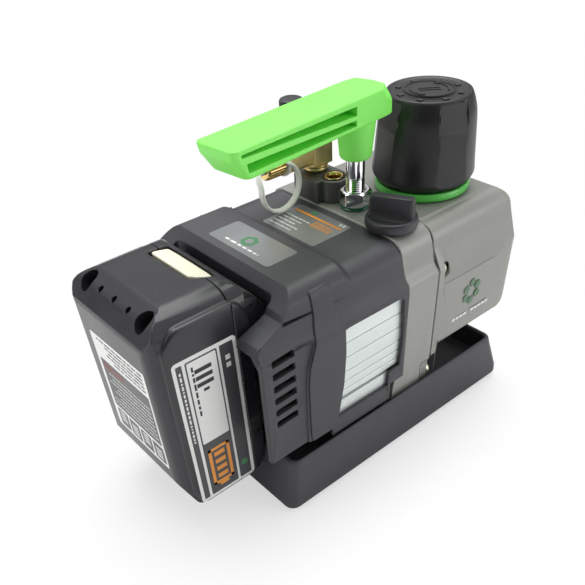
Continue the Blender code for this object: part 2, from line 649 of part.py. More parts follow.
def make_drain():
    """Drain plug with a hexagonal socket, and its seal."""
    seal = lathe("drain_seal", tube(4.4, 6.8, 93.9, 94.9), 'X', DRAIN_C, 24, RUBBER)
    profile = [(0, 99.7), (5.6, 99.7), (6.9, 98.6), (6.9, 95.2), (4.0, 95.2), (4.0, 85.0),
               (0, 85.0)]
    plug = lathe("drain_plug", profile, 'X', DRAIN_C, 24, BRASS)
    cut(plug, prism("cut_drain_socket", hexagon(DRAIN_C, 3.2), 'X', 96.6, 105))
    for obj in (plug, seal):
        set_origin(obj, 95, *DRAIN_C)


# ------------------------------------------------------------ exhaust filter
CAP_BOT = 129.1
# profiles (radius, z)
RING_PROFILE = [(25.5, SEAT_Z), (19.4, SEAT_Z), (19.4, 128.7), (25.4, 128.7), (26.2, 127.9),
                (26.2, 125.4)]
CAP_PROFILE = [
    (0, 172.5), (21.2, 172.5), (22.0, 172.0), (25.2, 164.0), (28.4, 136.0), (28.3, 133.2),
    (24.8, CAP_BOT), (19.7, CAP_BOT), (19.7, 150.0), (17.5, 154.0), (17.5, 167.5), (0, 167.5)]
CAP_FLATS = ((26.9, 120), (24.6, 158.0), (21.8, 171.9))     # distance from the axis, z


def make_exhaust_filter():
    """Ring, felt element and cap; four flats are cut into the cap's wall."""
    lathe("filter_ring", RING_PROFILE, 'Z', FILTER_C, 48, GREEN)
    element = lathe("filter_element", tube(8.5, 15.8, 127.0, 165.5), 'Z', FILTER_C, 32, FELT)
    cap = lathe("filter_cap", CAP_PROFILE, 'Z', FILTER_C, 48, BLACK)
    for i in range(4):
        angle = math.radians(-105 + 90 * i)
        rings = [turned_ring(rectangle(inner, 40, -8.5, 8.5), angle, FILTER_C, z)
                 for inner, z in CAP_FLATS]
        cut(cap, loft(f"cut_cap_flat_{i}", rings))
    for obj in (cap, element):
        set_origin(obj, *FILTER_C, CAP_BOT)


# -------------------------------------------------------- gas ballast knob
KNOB_BOT = 124.8
KNOB_TURN = math.radians(-66)
KNOB_PROFILE = [(0, 129.6), (12.4, 129.6), (13.3, 128.8), (13.5, 125.6), (12.9, KNOB_BOT),
                (4.7, KNOB_BOT), (4.7, 110), (0, 110)]
# wing: half length, half width, z
KNOB_WING = ((12.2, 4.6, 129.0), (12.0, 3.6, 132.5), (11.6, 3.1, 139.2), (10.8, 2.3, 140.0))


def make_ballast_knob():
    knob = lathe("ballast_knob", KNOB_PROFILE, 'Z', KNOB_C, 36, BLACK)
    rings = [turned_ring(rectangle(-length, length, -width, width), KNOB_TURN, KNOB_C, z)
             for length, width, z in KNOB_WING]
    add(knob, loft("add_knob_wing", rings))
    set_origin(knob, *KNOB_C, KNOB_BOT)


# ------------------------------------------------------------------- handle
GRIP_BOT, GRIP_TOP = 168.5, 181.5
GRIP_TURN = math.radians(6.1)
POST_BORE_R = POST_R + GAP
# grip levels: inset of the outline, reach of the free end, z
GRIP_LEVELS = [
    (1.2, -84.8, GRIP_BOT), (0.2, -85.9, GRIP_BOT + 1.2), (0.0, -91.6, GRIP_TOP - 3.0),
    (0.3, -92.2, GRIP_TOP - 0.8), (1.4, -91.0, GRIP_TOP)]
# recesses in both flanks: (distance along the grip, z)
GRIP_RECESSES = {
    "a": [(-85.0, 178.3), (-13.5, 175.2), (-13.5, 179.0), (-85.0, 179.6)],
    "b": [(-82.0, 171.3), (-13.5, 170.5), (-13.5, 173.0), (-83.0, 175.2)]}
HUB_PROFILE = [(0, 172), (9.9, 172), (9.7, 166), (8.4, 151.2), (7.6, 150.0), (0, 150.0)]
NUT_FLATS = 15.6
NUT_CHAMFER = [(0, 134.1), (7.4, 134.1), (9.4, 132.9), (9.4, 127.4), (7.4, 126.2), (0, 126.2)]


def grip_outline(inset, reach):
    """Plan of the grip, measured from the post; reach is where its free end lies."""
    half = 11.7 - inset
    return [(reach, -half + 1.5), (reach + 1.5, -half), (1.5, -11.5 + inset),
            (10.5, -9.4 + inset), (14.8 - inset, -5.2), (14.8 - inset, 5.2),
            (10.5, 9.4 - inset), (1.5, 11.5 - inset), (reach + 1.5, half), (reach, half - 1.5)]


def make_handle_grip():
    """Grip reaching back from the post, with a tapered hub under its front end."""
    rings = [turned_ring(grip_outline(inset, reach), GRIP_TURN, POST_C, z)
             for inset, reach, z in GRIP_LEVELS]
    grip = loft("handle_grip", rings, GREEN)
    add(grip, lathe("add_handle_hub", HUB_PROFILE, 'Z', POST_C, 32))
    for side in (-1, 1):
        for tag, outline in GRIP_RECESSES.items():
            rings = [[point(*turned(along, side * across, GRIP_TURN, POST_C), z)
                      for along, z in outline] for across in (3.5, 16)]
            cut(grip, loft(f"cut_grip_{tag}_{side + 1}", rings))
    cut(grip, lathe("cut_grip_post", rod(POST_BORE_R, 140, 170.0), 'Z', POST_C, 24))


def make_handle_post():
    """Post with its washer and chamfered hexagon nut."""
    lathe("handle_post", rod(POST_R, 105.0, 169.0, 0.7), 'Z', POST_C, 28, CHROME)
    lathe("post_washer", tube(POST_HOLE_R, 7.9, SEAT_Z, 126.0), 'Z', POST_C, 32, CHROME)
    outline = hexagon(POST_C, NUT_FLATS / math.sqrt(3), turn=12)
    nut = prism("post_nut", outline, 'Z', 126.3, 134.0, CHROME)
    keep(nut, lathe("keep_nut_chamfer", NUT_CHAMFER, 'Z', POST_C, 36))
    cut(nut, lathe("cut_nut_thread", rod(POST_BORE_R, 120, 140), 'Z', POST_C, 24))


# ----------------------------------------------------- intake block and tee
TEE_X, TEE_Y = TEE_C
TEE_ARM_Z = 147.0
SIDE_PORT_C = (TEE_Y, TEE_ARM_Z)
TOP_PORT_X = -4.5
TOP_PORT_C = (TOP_PORT_X, TEE_Y)
BLOCK_Z = (SEAT_Z, 136.0)
TEE_STEM = [(0, 142), (6.2, 142), (6.2, 139.6), (6.9, 139.2), (6.9, 136.6), (6.6, 136.3),
            (4.9, 136.3), (4.9, 128.0), (0, 128.0)]


def make_intake_block():
    outline = rounded(10.0, 11.0, 3.0, steps=4, centre=(9.0, 22.2))
    block = prism("intake_block", outline, 'Z', *BLOCK_Z, DARK_CAST)
    add(block, lathe("add_port_boss", rod(7.7, *BLOCK_Z), 'Z', PORT_C))
    cut(block,
        lathe("cut_port_seat", rod(5.7, 128.0, 140), 'Z', PORT_C, 28),
        lathe("cut_tee_seat", rod(5.3, 127.7, 140), 'Z', TEE_C, 24),
        lathe("cut_block_way", rod(3.0, 120, 130), 'Z', TEE_C, 16))
    insert = [(5.4, 136.0), (5.4, 128.4), (4.0, 128.4), (4.0, 135.6), (4.6, 136.5), (5.0, 136.5)]
    lathe("port_insert", insert, 'Z', PORT_C, 28, BRASS)


def make_intake_tee():
    """Fitting with a bar to the rear that carries a side port along X and a top port."""
    tee = lathe("intake_tee", TEE_STEM, 'Z', TEE_C, 28, BRASS)
    body, bar = 6.8, 5.6                    # half widths
    top_port = [(0, 169.4), (4.2, 169.4), (5.0, 168.4), (5.0, 150), (0, 150)]
    side_port = [(0, -8), (4.9, -8), (4.9, -20.2), (4.1, -21.2), (0, -21.2)]
    add(tee,
        box("add_tee_body", (TEE_X - body, TEE_X + body), (TEE_Y - body, TEE_Y + body),
            (139.8, 154.4)),
        box("add_tee_bar", (-12.0, TEE_X), (TEE_Y - bar, TEE_Y + bar),
            (TEE_ARM_Z - bar, TEE_ARM_Z + bar)),
        lathe("add_tee_top_port", top_port, 'Z', TOP_PORT_C, 24),
        lathe("add_tee_side_port", side_port, 'X', SIDE_PORT_C, 24))
    cut(tee,
        lathe("cut_tee_side_way", rod(2.4, -30, TEE_X), 'X', SIDE_PORT_C, 14),
        lathe("cut_tee_top_way", rod(2.4, TEE_ARM_Z, 180), 'Z', TOP_PORT_C, 14),
        lathe("cut_tee_low_way", rod(2.2, 120, TEE_ARM_Z), 'Z', TEE_C, 14))


def make_port_caps():
    """A cap and a seal disc on each port."""
    side_profile = [(0, -23.5), (5.3, -23.5), (5.3, -14.6), (6.2, -14.6), (6.6, -15.4),
                    (6.6, -25.2), (5.8, -26.4), (0, -26.4)]
    top_profile = [(0, 174.8), (5.4, 174.8), (6.2, 173.9), (6.2, 157.0), (5.3, 157.0),
                   (5.3, 171.7), (0, 171.7)]
    side_seal = lathe("side_cap_seal", rod(4.6, -23.1, -21.6), 'X', SIDE_PORT_C, 20, RUBBER)
    side_cap = lathe("side_cap", side_profile, 'X', SIDE_PORT_C, 28, BRASS)
    top_seal = lathe("top_cap_seal", rod(4.6, 169.8, 171.3), 'Z', TOP_PORT_C, 20, RUBBER)
    top_cap = lathe("top_cap", top_profile, 'Z', TOP_PORT_C, 28, BLACK)
    for obj in (side_cap, side_seal):
        set_origin(obj, -20, *SIDE_PORT_C)
    for obj in (top_cap, top_seal):
        set_origin(obj, *TOP_PORT_C, 165)


STRAP_R = 1.1
LOOP_X, LOOP_Z, LOOP_R = -20.3, 137.5, 12.2
LOOP_STEPS = 22


def strap_mesh(points):
    """Mesh of a round strap along a list of points."""
    curve = bpy.data.curves.new("cap_tether", 'CURVE')
    curve.dimensions = '3D'
    curve.bevel_depth = STRAP_R * MM
    curve.bevel_resolution = 1
    curve.use_fill_caps = True
    curve.resolution_u = 1
    spline = curve.splines.new('POLY')
    spline.points.add(len(points) - 1)
    for knot, place in zip(spline.points, points):
        knot.co = (*point(*place), 1.0)
    holder = bpy.data.objects.new("strap_tmp", curve)
    bpy.context.collection.objects.link(holder)
    bpy.context.view_layer.update()
    depsgraph = bpy.context.evaluated_depsgraph_get()
    mesh = bpy.data.meshes.new_from_object(holder.evaluated_get(depsgraph))
    bpy.data.objects.remove(holder, do_unlink=True)
    return mesh


def make_cap_tether():
    """Strap hanging in a loop from a ring round the side port to the cap's end."""
    points = []
    for i in range(LOOP_STEPS + 1):
        angle = math.radians(62 - 250 * i / LOOP_STEPS)
        x, z = turned(LOOP_R, 0, angle, (LOOP_X, LOOP_Z))
        points.append((x, 18.0 + 0.06 * i, z))
    points += [(-32.0, 20.5, 143.5), (-30.4, 23.0, 146.6), (-28.6, *SIDE_PORT_C)]
    shape = bmesh.new()
    shape.from_mesh(strap_mesh(points))
    tether = finish("cap_tether", shape, WHITE)
    add(tether,
        lathe("add_tether_ring", tube(5.4, 7.6, -14.0, -12.4), 'X', SIDE_PORT_C, 24),
        lathe("add_tether_button", rod(3.4, -28.4, -26.8), 'X', SIDE_PORT_C, 20))


# ------------------------------------------------------------------ battery
BAT_X0, BAT_SPLIT, BAT_X1 = -139.7, -96.0, -88.0
BAT_BOT, BAT_TOP = 19.5, 132.0
BUTTON_X = (-102.8, -90.8)
BUTTON_HALF_W, BUTTON_PLAY = 19.2, 0.4
# half outline across X (y, z)
BAT_HALF = [
    (0, BAT_TOP), (23.5, BAT_TOP), (27.2, 131.5), (31.0, 129.9), (34.4, 127.2), (36.6, 124.2),
    (BAT_HALF_W, 120.5), (BAT_HALF_W, BAT_BOT), (0, BAT_BOT)]
# side outlines (x, z)
BAT_SIDE = [
    (BAT_X0, 38.0), (-138.4, 31.0), (-135.8, 25.2), (-131.4, 21.0), (-126.0, BAT_BOT),
    (BAT_X1, BAT_BOT), (BAT_X1, BAT_TOP), (-123.5, BAT_TOP), (-130.5, 129.7), (-136.6, 124.3),
    (BAT_X0, 118.5)]
REAR_IN_SIDE = [
    (-137.4, 38.5), (-134.0, 26.8), (-129.0, 21.8), (-80, 21.8), (-80, 117.6), (-136.2, 117.6),
    (-137.4, 116.0)]
NOSE_SIDE = [
    (BAT_SPLIT + 0.1, BAT_BOT + 0.1), (-92.6, 21.4), (-90.2, 24.8), (-88.8, 29.0), (-88.4, 33.0),
    (BAT_X1, 95.0), (-77.2, 102.6), (-75.5, 104.8), (-75.1, 110.0), (-76.6, 115.5),
    (-80.2, 122.0), (-85.0, 127.4), (-89.0, 130.4), (-92.0, 131.6), (BAT_SPLIT + 0.1, BAT_TOP)]
NOSE_IN_SIDE = [
    (-110, 22.2), (-95.0, 22.2), (-92.6, 25.6), (-91.0, 31.0), (-90.6, 36.0), (-90.6, 117.6),
    (-110, 117.6)]
# round recesses in the rear top edge: y, radius, depth, sides
RECESSES = [(24, 4.6, 6.5, 16), (-24, 4.6, 6.5, 16), (12, 1.5, 4.0, 10), (0, 1.5, 4.0, 10),
            (-12, 1.5, 4.0, 10)]


def rear_plan(inset=0.0):
    """Plan of the rear case, rounded at its rear corners and open-ended to the front."""
    radius, half = 9.0, BAT_HALF_W - inset
    x = BAT_X0 + inset + radius
    return (arc((x, half - radius), radius, 90, 180) + arc((x, radius - half), radius, 180, 270)
            + [(-60.0, -half), (-60.0, half)])


def button_pocket(name, x1):
    half = BUTTON_HALF_W + BUTTON_PLAY
    return box(name, (BUTTON_X[0] - BUTTON_PLAY, x1), (-half, half), (120.4, 140))


def case_recesses():
    """Tilted oval cylinders that sink the recesses."""
    shape = bmesh.new()
    tilt = Matrix.Rotation(math.radians(-35), 4, 'Y')
    for y, radius, depth, sides in RECESSES:
        rings = []
        for height in (-depth, 8):
            ring = []
            for i in range(sides):
                across, along = turned(radius, 0, 2 * math.pi * i / sides)
                offset = Vector((1.25 * across, along, height)) * MM
                ring.append(point(-132.0, y, 129.0) + tilt @ offset)
            rings.append(ring)
        add_loft(shape, rings)
    return finish("cut_case_recesses", shape)


def make_rear_case():
    case = prism("battery_rear_case", mirror_y(BAT_HALF), 'X', BAT_X0 - 1, BAT_SPLIT - 0.2, BLACK)
    keep(case,
         prism("keep_bat_side", BAT_SIDE, 'Y', -60, 60),
         prism("keep_bat_plan", rear_plan(), 'Z', 0, 150))
    inside = prism("cut_case_inside", REAR_IN_SIDE, 'Y', -35.0, 35.0)
    keep(inside, prism("keep_case_inside", rear_plan(2.4), 'Z', 0, 150))
    cut(case, inside, button_pocket("cut_button_rear", -90), case_recesses())


def make_front_case():
    """Front shell with an overhanging nose and the T rail that slides into the dock."""
    case = prism("battery_front_case", NOSE_SIDE, 'Y', -60, 60, BLACK)
    radius = 10.0
    corner_y = BAT_HALF_W - radius
    plan = (arc((-85.0, corner_y), radius, 90, 0) + arc((-85.0, -corner_y), radius, 0, -90)
            + [(-120.0, -BAT_HALF_W), (-120.0, BAT_HALF_W)])
    keep(case,
         prism("keep_front_yz", mirror_y(BAT_HALF), 'X', -120, -60),
         prism("keep_front_plan", plan, 'Z', 0, 150))
    rail_z = (RAIL_BOT, 93.8)
    add(case,
        box("add_rail_neck", (-90.0, -84.2), (-RAIL_NECK_HALF, RAIL_NECK_HALF), rail_z),
        box("add_rail_head", (-84.3, RAIL_X1), (-RAIL_HEAD_HALF, RAIL_HEAD_HALF), rail_z))
    cut(case,
        prism("cut_front_inside", NOSE_IN_SIDE, 'Y', -34.8, 34.8),
        button_pocket("cut_button_front", BUTTON_X[1] + BUTTON_PLAY))
    for side in (-1, 1):
        y = side * BLADE_Y
        cut(case, box(f"cut_blade_way_{side + 1}", (-84.6, -80), (y - 1.1, y + 1.1), (40, 76)))


def make_release_button():
    x0, x1 = BUTTON_X
    outline = [(x0, 123.9), (x1, 123.9), (x1, 129.0), (-93.0, 131.2), (-99.0, 131.6), (x0, 130.2)]
    button = prism("release_button", outline, 'Y', -BUTTON_HALF_W, BUTTON_HALF_W, CREAM)
    set_origin(button, -96.5, 0, 127)


def make_cell_pack():
    """Two columns of five cells lying along Y, joined by a middle plate."""
    pack = box("cell_pack", (-128.0, -103.6), (-3.0, 3.0), (31.0, 110.0), CELL_WRAP)
    cell_r, pitch, low_z = 9.05, 18.3, 33.9
    cells = bmesh.new()
    for x in (-125.0, -106.7):
        for i in range(5):
            add_lathe(cells, rod(cell_r, -32.5, 32.5, 0.6), 'Y', (x, low_z + pitch * i), 16)
    add(pack, finish("add_cells", cells))


# -------------------------------------------------------------------- build
def build():
    tray = make_base_tray()
    make_feet(tray)
    make_base_screws(tray)
    flange = make_pump_flange()
    make_bearings_and_seal()
    make_motor_housing()
    make_rear_end_bell()
    make_stator_core()
    make_stator_windings()
    make_shaft_and_magnets()
    make_cooling_fan()
    make_control_board()
    make_motor_cover()
    make_switch()
    make_battery_dock()
    make_pump_cylinder()
    make_pump_rotor()
    tank, inside = make_oil_tank()
    make_tank_screws(tank, inside, flange, make_tank_gasket())
    make_sight_glass()
    make_drain()
    make_exhaust_filter()
    make_ballast_knob()
    make_handle_grip()
    make_handle_post()
    make_intake_block()
    make_intake_tee()
    make_port_caps()
    make_cap_tether()
    make_rear_case()
    make_front_case()
    make_release_button()
    make_cell_pack()


build()
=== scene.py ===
"""Looks for the cordless HVAC vacuum pump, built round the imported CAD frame.

Lengths in the helpers are millimetres measured from the middle of the base tray; P() turns them
into the frame's metres. Every visible shell is rebuilt here with rounded edges and fine detail,
and rides on the CAD body it belongs to.
"""
import math
import random

import bmesh
import bpy
from mathutils import Matrix, Vector


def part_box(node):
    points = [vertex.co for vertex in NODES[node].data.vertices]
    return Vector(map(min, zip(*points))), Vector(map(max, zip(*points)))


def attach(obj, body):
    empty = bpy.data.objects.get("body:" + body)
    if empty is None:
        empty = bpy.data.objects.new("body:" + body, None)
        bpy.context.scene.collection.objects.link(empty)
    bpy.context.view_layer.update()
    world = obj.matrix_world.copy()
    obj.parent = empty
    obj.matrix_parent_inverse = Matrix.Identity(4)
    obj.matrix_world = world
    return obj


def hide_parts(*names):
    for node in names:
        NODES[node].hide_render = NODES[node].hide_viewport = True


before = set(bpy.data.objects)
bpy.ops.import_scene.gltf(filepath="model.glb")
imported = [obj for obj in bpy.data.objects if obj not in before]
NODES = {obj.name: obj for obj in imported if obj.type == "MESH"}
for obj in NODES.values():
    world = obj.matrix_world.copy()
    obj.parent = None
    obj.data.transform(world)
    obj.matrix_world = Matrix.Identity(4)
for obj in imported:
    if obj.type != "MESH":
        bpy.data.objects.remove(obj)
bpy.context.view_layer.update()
MM = 0.001
# the tray's middle in the frame, read from the CAD tray itself
_tlo, _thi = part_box("base_tray")
AX = (_tlo.x + _thi.x) / 2 / MM
RND = random.Random(11)


# =============================================================== mesh helpers
def P(x, y, z):
    return Vector(((x + AX) * MM, y * MM, z * MM))


def new_object(name, bm):
    bmesh.ops.remove_doubles(bm, verts=bm.verts, dist=1e-7)
    bmesh.ops.recalc_face_normals(bm, faces=bm.faces)
    me = bpy.data.meshes.new(name)
    bm.to_mesh(me)
    bm.free()
    ob = bpy.data.objects.new(name, me)
    bpy.context.scene.collection.objects.link(ob)
    return ob


def plane_point(axis, a, b, c):
    if axis == 'X':
        return P(c, a, b)
    if axis == 'Y':
        return P(a, c, b)
    return P(a, b, c)


def prism(name, pts, axis, lo, hi, bm=None):
    own = bm is None
    if own:
        bm = bmesh.new()
    vs = [bm.verts.new(plane_point(axis, a, b, lo)) for a, b in pts]
    face = bm.faces.new(vs)
    res = bmesh.ops.extrude_face_region(bm, geom=[face])
    top = [g for g in res['geom'] if isinstance(g, bmesh.types.BMVert)]
    bmesh.ops.translate(bm, verts=top, vec=plane_point(axis, 0, 0, hi) - plane_point(axis, 0, 0, lo))
    return new_object(name, bm) if own else None


def box(name, x, y, z, bm=None):
    return prism(name, [(x[0], y[0]), (x[1], y[0]), (x[1], y[1]), (x[0], y[1])], 'Z', z[0], z[1], bm)


def loft(name, rings, bm=None, closed_ends=True):
    own = bm is None
    if own:
        bm = bmesh.new()
    loops = [[bm.verts.new(p) for p in ring] for ring in rings]
    n = len(loops[0])
    for a, b in zip(loops, loops[1:]):
        for i in range(n):
            j = (i + 1) % n
            bm.faces.new((a[i], a[j], b[j], b[i]))
    if closed_ends:
        bm.faces.new(list(reversed(loops[0])))
        bm.faces.new(loops[-1])
    return new_object(name, bm) if own else None


def lathe(name, prof, axis, centre, seg=64, bm=None):
    """Closed (radius, height) profile spun about an axis; centre is the two coordinates across it."""
    own = bm is None
    if own:
        bm = bmesh.new()
    if axis == 'X':
        base = lambda h: P(h, centre[0], centre[1])
        d, side = Vector((1, 0, 0)), Vector((0, 1, 0))
    elif axis == 'Y':
        base = lambda h: P(centre[0], h, centre[1])
        d, side = Vector((0, 1, 0)), Vector((1, 0, 0))
    else:
        base = lambda h: P(centre[0], centre[1], h)
        d, side = Vector((0, 0, 1)), Vector((1, 0, 0))
    vs = [bm.verts.new(base(h) + side * (r * MM)) for r, h in prof]
    n = len(prof)
    edges = [bm.edges.new((vs[i], vs[(i + 1) % n])) for i in range(n)
             if not (prof[i][0] == 0 and prof[(i + 1) % n][0] == 0)]
    bmesh.ops.spin(bm, geom=vs + edges, cent=base(0), axis=d, angle=2 * math.pi, steps=seg,
                   use_merge=True, use_duplicate=False)
    bmesh.ops.remove_doubles(bm, verts=bm.verts, dist=2e-7)
    return new_object(name, bm) if own else None


def rod(r, a, b, c=0.0):
    if c <= 0:
        return [(0, b), (r, b), (r, a), (0, a)]
    return [(0, b), (r - c, b), (r, b - c), (r, a + c), (r - c, a), (0, a)]


def tube(r0, r1, a, b):
    return [(r1, b), (r1, a), (r0, a), (r0, b)]


def arc(cx, cy, r, a0, a1, n):
    return [(cx + r * math.cos(math.radians(a0 + (a1 - a0) * i / n)),
             cy + r * math.sin(math.radians(a0 + (a1 - a0) * i / n))) for i in range(n + 1)]


def rounded(hx, hy, r, n=10, cx=0.0, cy=0.0):
    pts = []
    for sx, sy, a in ((1, 1, 0), (-1, 1, 90), (-1, -1, 180), (1, -1, 270)):
        pts += arc(cx + sx * (hx - r), cy + sy * (hy - r), r, a, a + 90, n)
    return pts


def fillet(pts, radii, n=5, closed=True):
    """Rounds the corners of a polygon. radii is one number or one per point (0 keeps a corner)."""
    out = []
    m = len(pts)
    for i, p in enumerate(pts):
        r = radii if isinstance(radii, (int, float)) else radii[i]
        if r <= 0 or (not closed and i in (0, m - 1)):
            out.append(tuple(p))
            continue
        p = Vector(p)
        a, b = Vector(pts[i - 1]) - p, Vector(pts[(i + 1) % m]) - p
        la, lb = a.length, b.length
        a.normalize(); b.normalize()
        ang = a.angle(b)
        if ang > math.radians(178.5):
            # nearly straight: the same number of points, laid along the line
            t = min(0.5, la * 0.4, lb * 0.4)
            p0, p1 = p + a * t, p + b * t
            out += [tuple(p0.lerp(p1, k / n)) for k in range(n + 1)]
            continue
        t = min(r / math.tan(ang / 2), la * 0.48, lb * 0.48)
        r = t * math.tan(ang / 2)
        c = p + (a + b).normalized() * (r / math.sin(ang / 2))
        p0, p1 = p + a * t, p + b * t
        v0, v1 = p0 - c, p1 - c
        a0 = math.atan2(v0.y, v0.x)
        da = math.atan2(v1.y, v1.x) - a0
        while da > math.pi: da -= 2 * math.pi
        while da < -math.pi: da += 2 * math.pi
        for k in range(n + 1):
            t2 = a0 + da * k / n
            out.append((c.x + r * math.cos(t2), c.y + r * math.sin(t2)))
    return out


def mirror_y(half):
    return half + [(-a, b) for a, b in reversed(half) if a > 1e-6]


def bake(ob):
    dg = bpy.context.evaluated_depsgraph_get()
    me = bpy.data.meshes.new_from_object(ob.evaluated_get(dg))
    old = ob.data
    ob.modifiers.clear()
    ob.data = me
    me.name = ob.name
    if old.users == 0:
        bpy.data.meshes.remove(old)
    return ob


def drop(*obs):
    for o in obs:
        me = o.data
        bpy.data.objects.remove(o, do_unlink=True)
        if me.users == 0:
            bpy.data.meshes.remove(me)


def boolean(ob, others, op):
    for o in others:
        m = ob.modifiers.new("b", 'BOOLEAN')
        m.operation = op
        m.object = o
        m.solver = 'EXACT'
    bake(ob)
    drop(*others)
    return ob


def cut(ob, *others):
    return boolean(ob, others, 'DIFFERENCE')


def add(ob, *others):
    return boolean(ob, others, 'UNION')


def keep(ob, *others):
    return boolean(ob, others, 'INTERSECT')


def tidy(ob, ang=0.0, dist=0.012):
    bm = bmesh.new()
    bm.from_mesh(ob.data)
    bmesh.ops.remove_doubles(bm, verts=bm.verts, dist=dist * MM)
    bmesh.ops.dissolve_degenerate(bm, dist=dist * MM, edges=bm.edges)
    if ang > 0:
        bmesh.ops.dissolve_limit(bm, angle_limit=math.radians(ang), verts=bm.verts, edges=bm.edges, use_dissolve_boundaries=False)
    bm.to_mesh(ob.data)
    bm.free()
    return ob


def soften(ob, width=0.6, seg=3, angle=28.0, sharp=60.0, clean=True, clamp=False):
    """Breaks the sharp edges and gives flat faces weighted normals."""
    if clean:
        tidy(ob)
    if width > 0:
        # large concave faces are split first, so that the bevel can't fold them over
        bm = bmesh.new()
        bm.from_mesh(ob.data)
        bmesh.ops.triangulate(bm, faces=[f for f in bm.faces if len(f.verts) > 4], quad_method='BEAUTY', ngon_method='BEAUTY')
        bm.to_mesh(ob.data)
        bm.free()
        m = ob.modifiers.new("edge", 'BEVEL')
        m.width = width * MM
        m.segments = seg
        m.limit_method = 'ANGLE'
        m.angle_limit = math.radians(angle)
        m.use_clamp_overlap = clamp
        m.miter_outer = 'MITER_ARC'
        bake(ob)
    me = ob.data
    me.shade_smooth()
    me.set_sharp_from_angle(angle=math.radians(sharp))
    w = ob.modifiers.new("wn", 'WEIGHTED_NORMAL')
    w.keep_sharp = True
    w.weight = 60
    bake(ob)
    return ob


def place(ob, body, mat, slot=None, stands_for=(), width=None, seg=3, angle=28.0, sharp=60.0, clean=True, clamp=False):
    if width is not None:
        soften(ob, width, seg, angle, sharp, clean, clamp)
    me = ob.data
    me.materials.clear()
    me.materials.append(mat)
    for p in me.polygons:
        p.material_index = 0
    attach(ob, body)
    if stands_for:
        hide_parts(*stands_for)
    return ob


# ================================================================= materials
def base_material(name):
    mat = bpy.data.materials.new(name)
    mat.use_nodes = True
    nt = mat.node_tree
    return mat, nt, nt.nodes["Principled BSDF"]


def noise(nt, coord, scale, detail=3.0, rough=0.55, loc=(-600, 0)):
    n = nt.nodes.new("ShaderNodeTexNoise")
    n.location = loc
    n.inputs["Scale"].default_value = scale
    n.inputs["Detail"].default_value = detail
    n.inputs["Roughness"].default_value = rough
    nt.links.new(coord.outputs["Object"], n.inputs["Vector"])
    return n


def ramp(nt, fac, lo, hi, p0=0.3, p1=0.7):
    r = nt.nodes.new("ShaderNodeValToRGB")
    r.color_ramp.elements[0].position = p0
    r.color_ramp.elements[1].position = p1
    r.color_ramp.elements[0].color = lo if len(lo) == 4 else (*lo, 1)
    r.color_ramp.elements[1].color = hi if len(hi) == 4 else (*hi, 1)
    nt.links.new(fac, r.inputs["Fac"])
    return r


def maprange(nt, value, a, b, c, d):
    m = nt.nodes.new("ShaderNodeMapRange")
    m.inputs["From Min"].default_value = a
    m.inputs["From Max"].default_value = b
    m.inputs["To Min"].default_value = c
    m.inputs["To Max"].default_value = d
    nt.links.new(value, m.inputs["Value"])
    return m


def surface(name, rgb, rough, metal=0.0, tint=0.10, grain=2600.0, bump=0.06, cloud=35.0, edge=0.35,
            coat=0.0, spec=0.5, fleck=None, brushed=None, sheen=0.0, aniso=0.0):
    """One moulded, cast or machined finish: cloudy colour and roughness, fine grain in the bump,
    and edges worn lighter. fleck adds a speckled paint; brushed stretches the grain along an axis."""
    mat, nt, b = base_material(name)
    L = nt.links
    co = nt.nodes.new("ShaderNodeTexCoord")
    big = noise(nt, co, cloud, 4.0)
    if brushed is not None:
        mp = nt.nodes.new("ShaderNodeMapping")
        mp.inputs["Scale"].default_value = brushed
        L.new(co.outputs["Object"], mp.inputs["Vector"])
        fine = nt.nodes.new("ShaderNodeTexNoise")
        fine.inputs["Scale"].default_value = grain
        fine.inputs["Detail"].default_value = 4.0
        L.new(mp.outputs["Vector"], fine.inputs["Vector"])
    else:
        fine = noise(nt, co, grain, 3.0)
    lo = tuple(max(0.0, c * (1 - tint)) for c in rgb)
    hi = tuple(min(1.0, c * (1 + tint)) for c in rgb)
    col = ramp(nt, big.outputs["Fac"], lo, hi)
    last = col.outputs["Color"]
    if fleck:
        fl = noise(nt, co, fleck[0], 2.0, 0.7)
        rr = ramp(nt, fl.outputs["Fac"], tuple(c * fleck[1] for c in rgb), tuple(min(1, c * fleck[2]) for c in rgb), 0.36, 0.64)
        mx = nt.nodes.new("ShaderNodeMix")
        mx.data_type = 'RGBA'
        mx.inputs["Factor"].default_value = fleck[3]
        L.new(last, mx.inputs["A"])
        L.new(rr.outputs["Color"], mx.inputs["B"])
        last = mx.outputs["Result"]
    if edge > 0:
        geo = nt.nodes.new("ShaderNodeNewGeometry")
        pr = maprange(nt, geo.outputs["Pointiness"], 0.51, 0.60, 0.0, edge)
        mx = nt.nodes.new("ShaderNodeMix")
        mx.data_type = 'RGBA'
        L.new(pr.outputs["Result"], mx.inputs["Factor"])
        L.new(last, mx.inputs["A"])
        mx.inputs["B"].default_value = (*[min(1.0, c * 1.6 + 0.03) for c in rgb], 1)
        last = mx.outputs["Result"]
    L.new(last, b.inputs["Base Color"])
    rg = maprange(nt, big.outputs["Fac"], 0.3, 0.7, max(0.02, rough * 0.88), min(1.0, rough * 1.12))
    L.new(rg.outputs["Result"], b.inputs["Roughness"])
    b.inputs["Metallic"].default_value = metal
    b.inputs["Specular IOR Level"].default_value = spec
    if coat > 0:
        b.inputs["Coat Weight"].default_value = coat
        b.inputs["Coat Roughness"].default_value = 0.15
    if sheen > 0:
        b.inputs["Sheen Weight"].default_value = sheen
    if aniso > 0:
        b.inputs["Anisotropic"].default_value = aniso
    if bump > 0:
        bp = nt.nodes.new("ShaderNodeBump")
        bp.inputs["Strength"].default_value = bump
        bp.inputs["Distance"].default_value = 0.0002
        L.new(fine.outputs["Fac"], bp.inputs["Height"])
        L.new(bp.outputs["Normal"], b.inputs["Normal"])
    mat.diffuse_color = (*rgb, 1)
    return mat


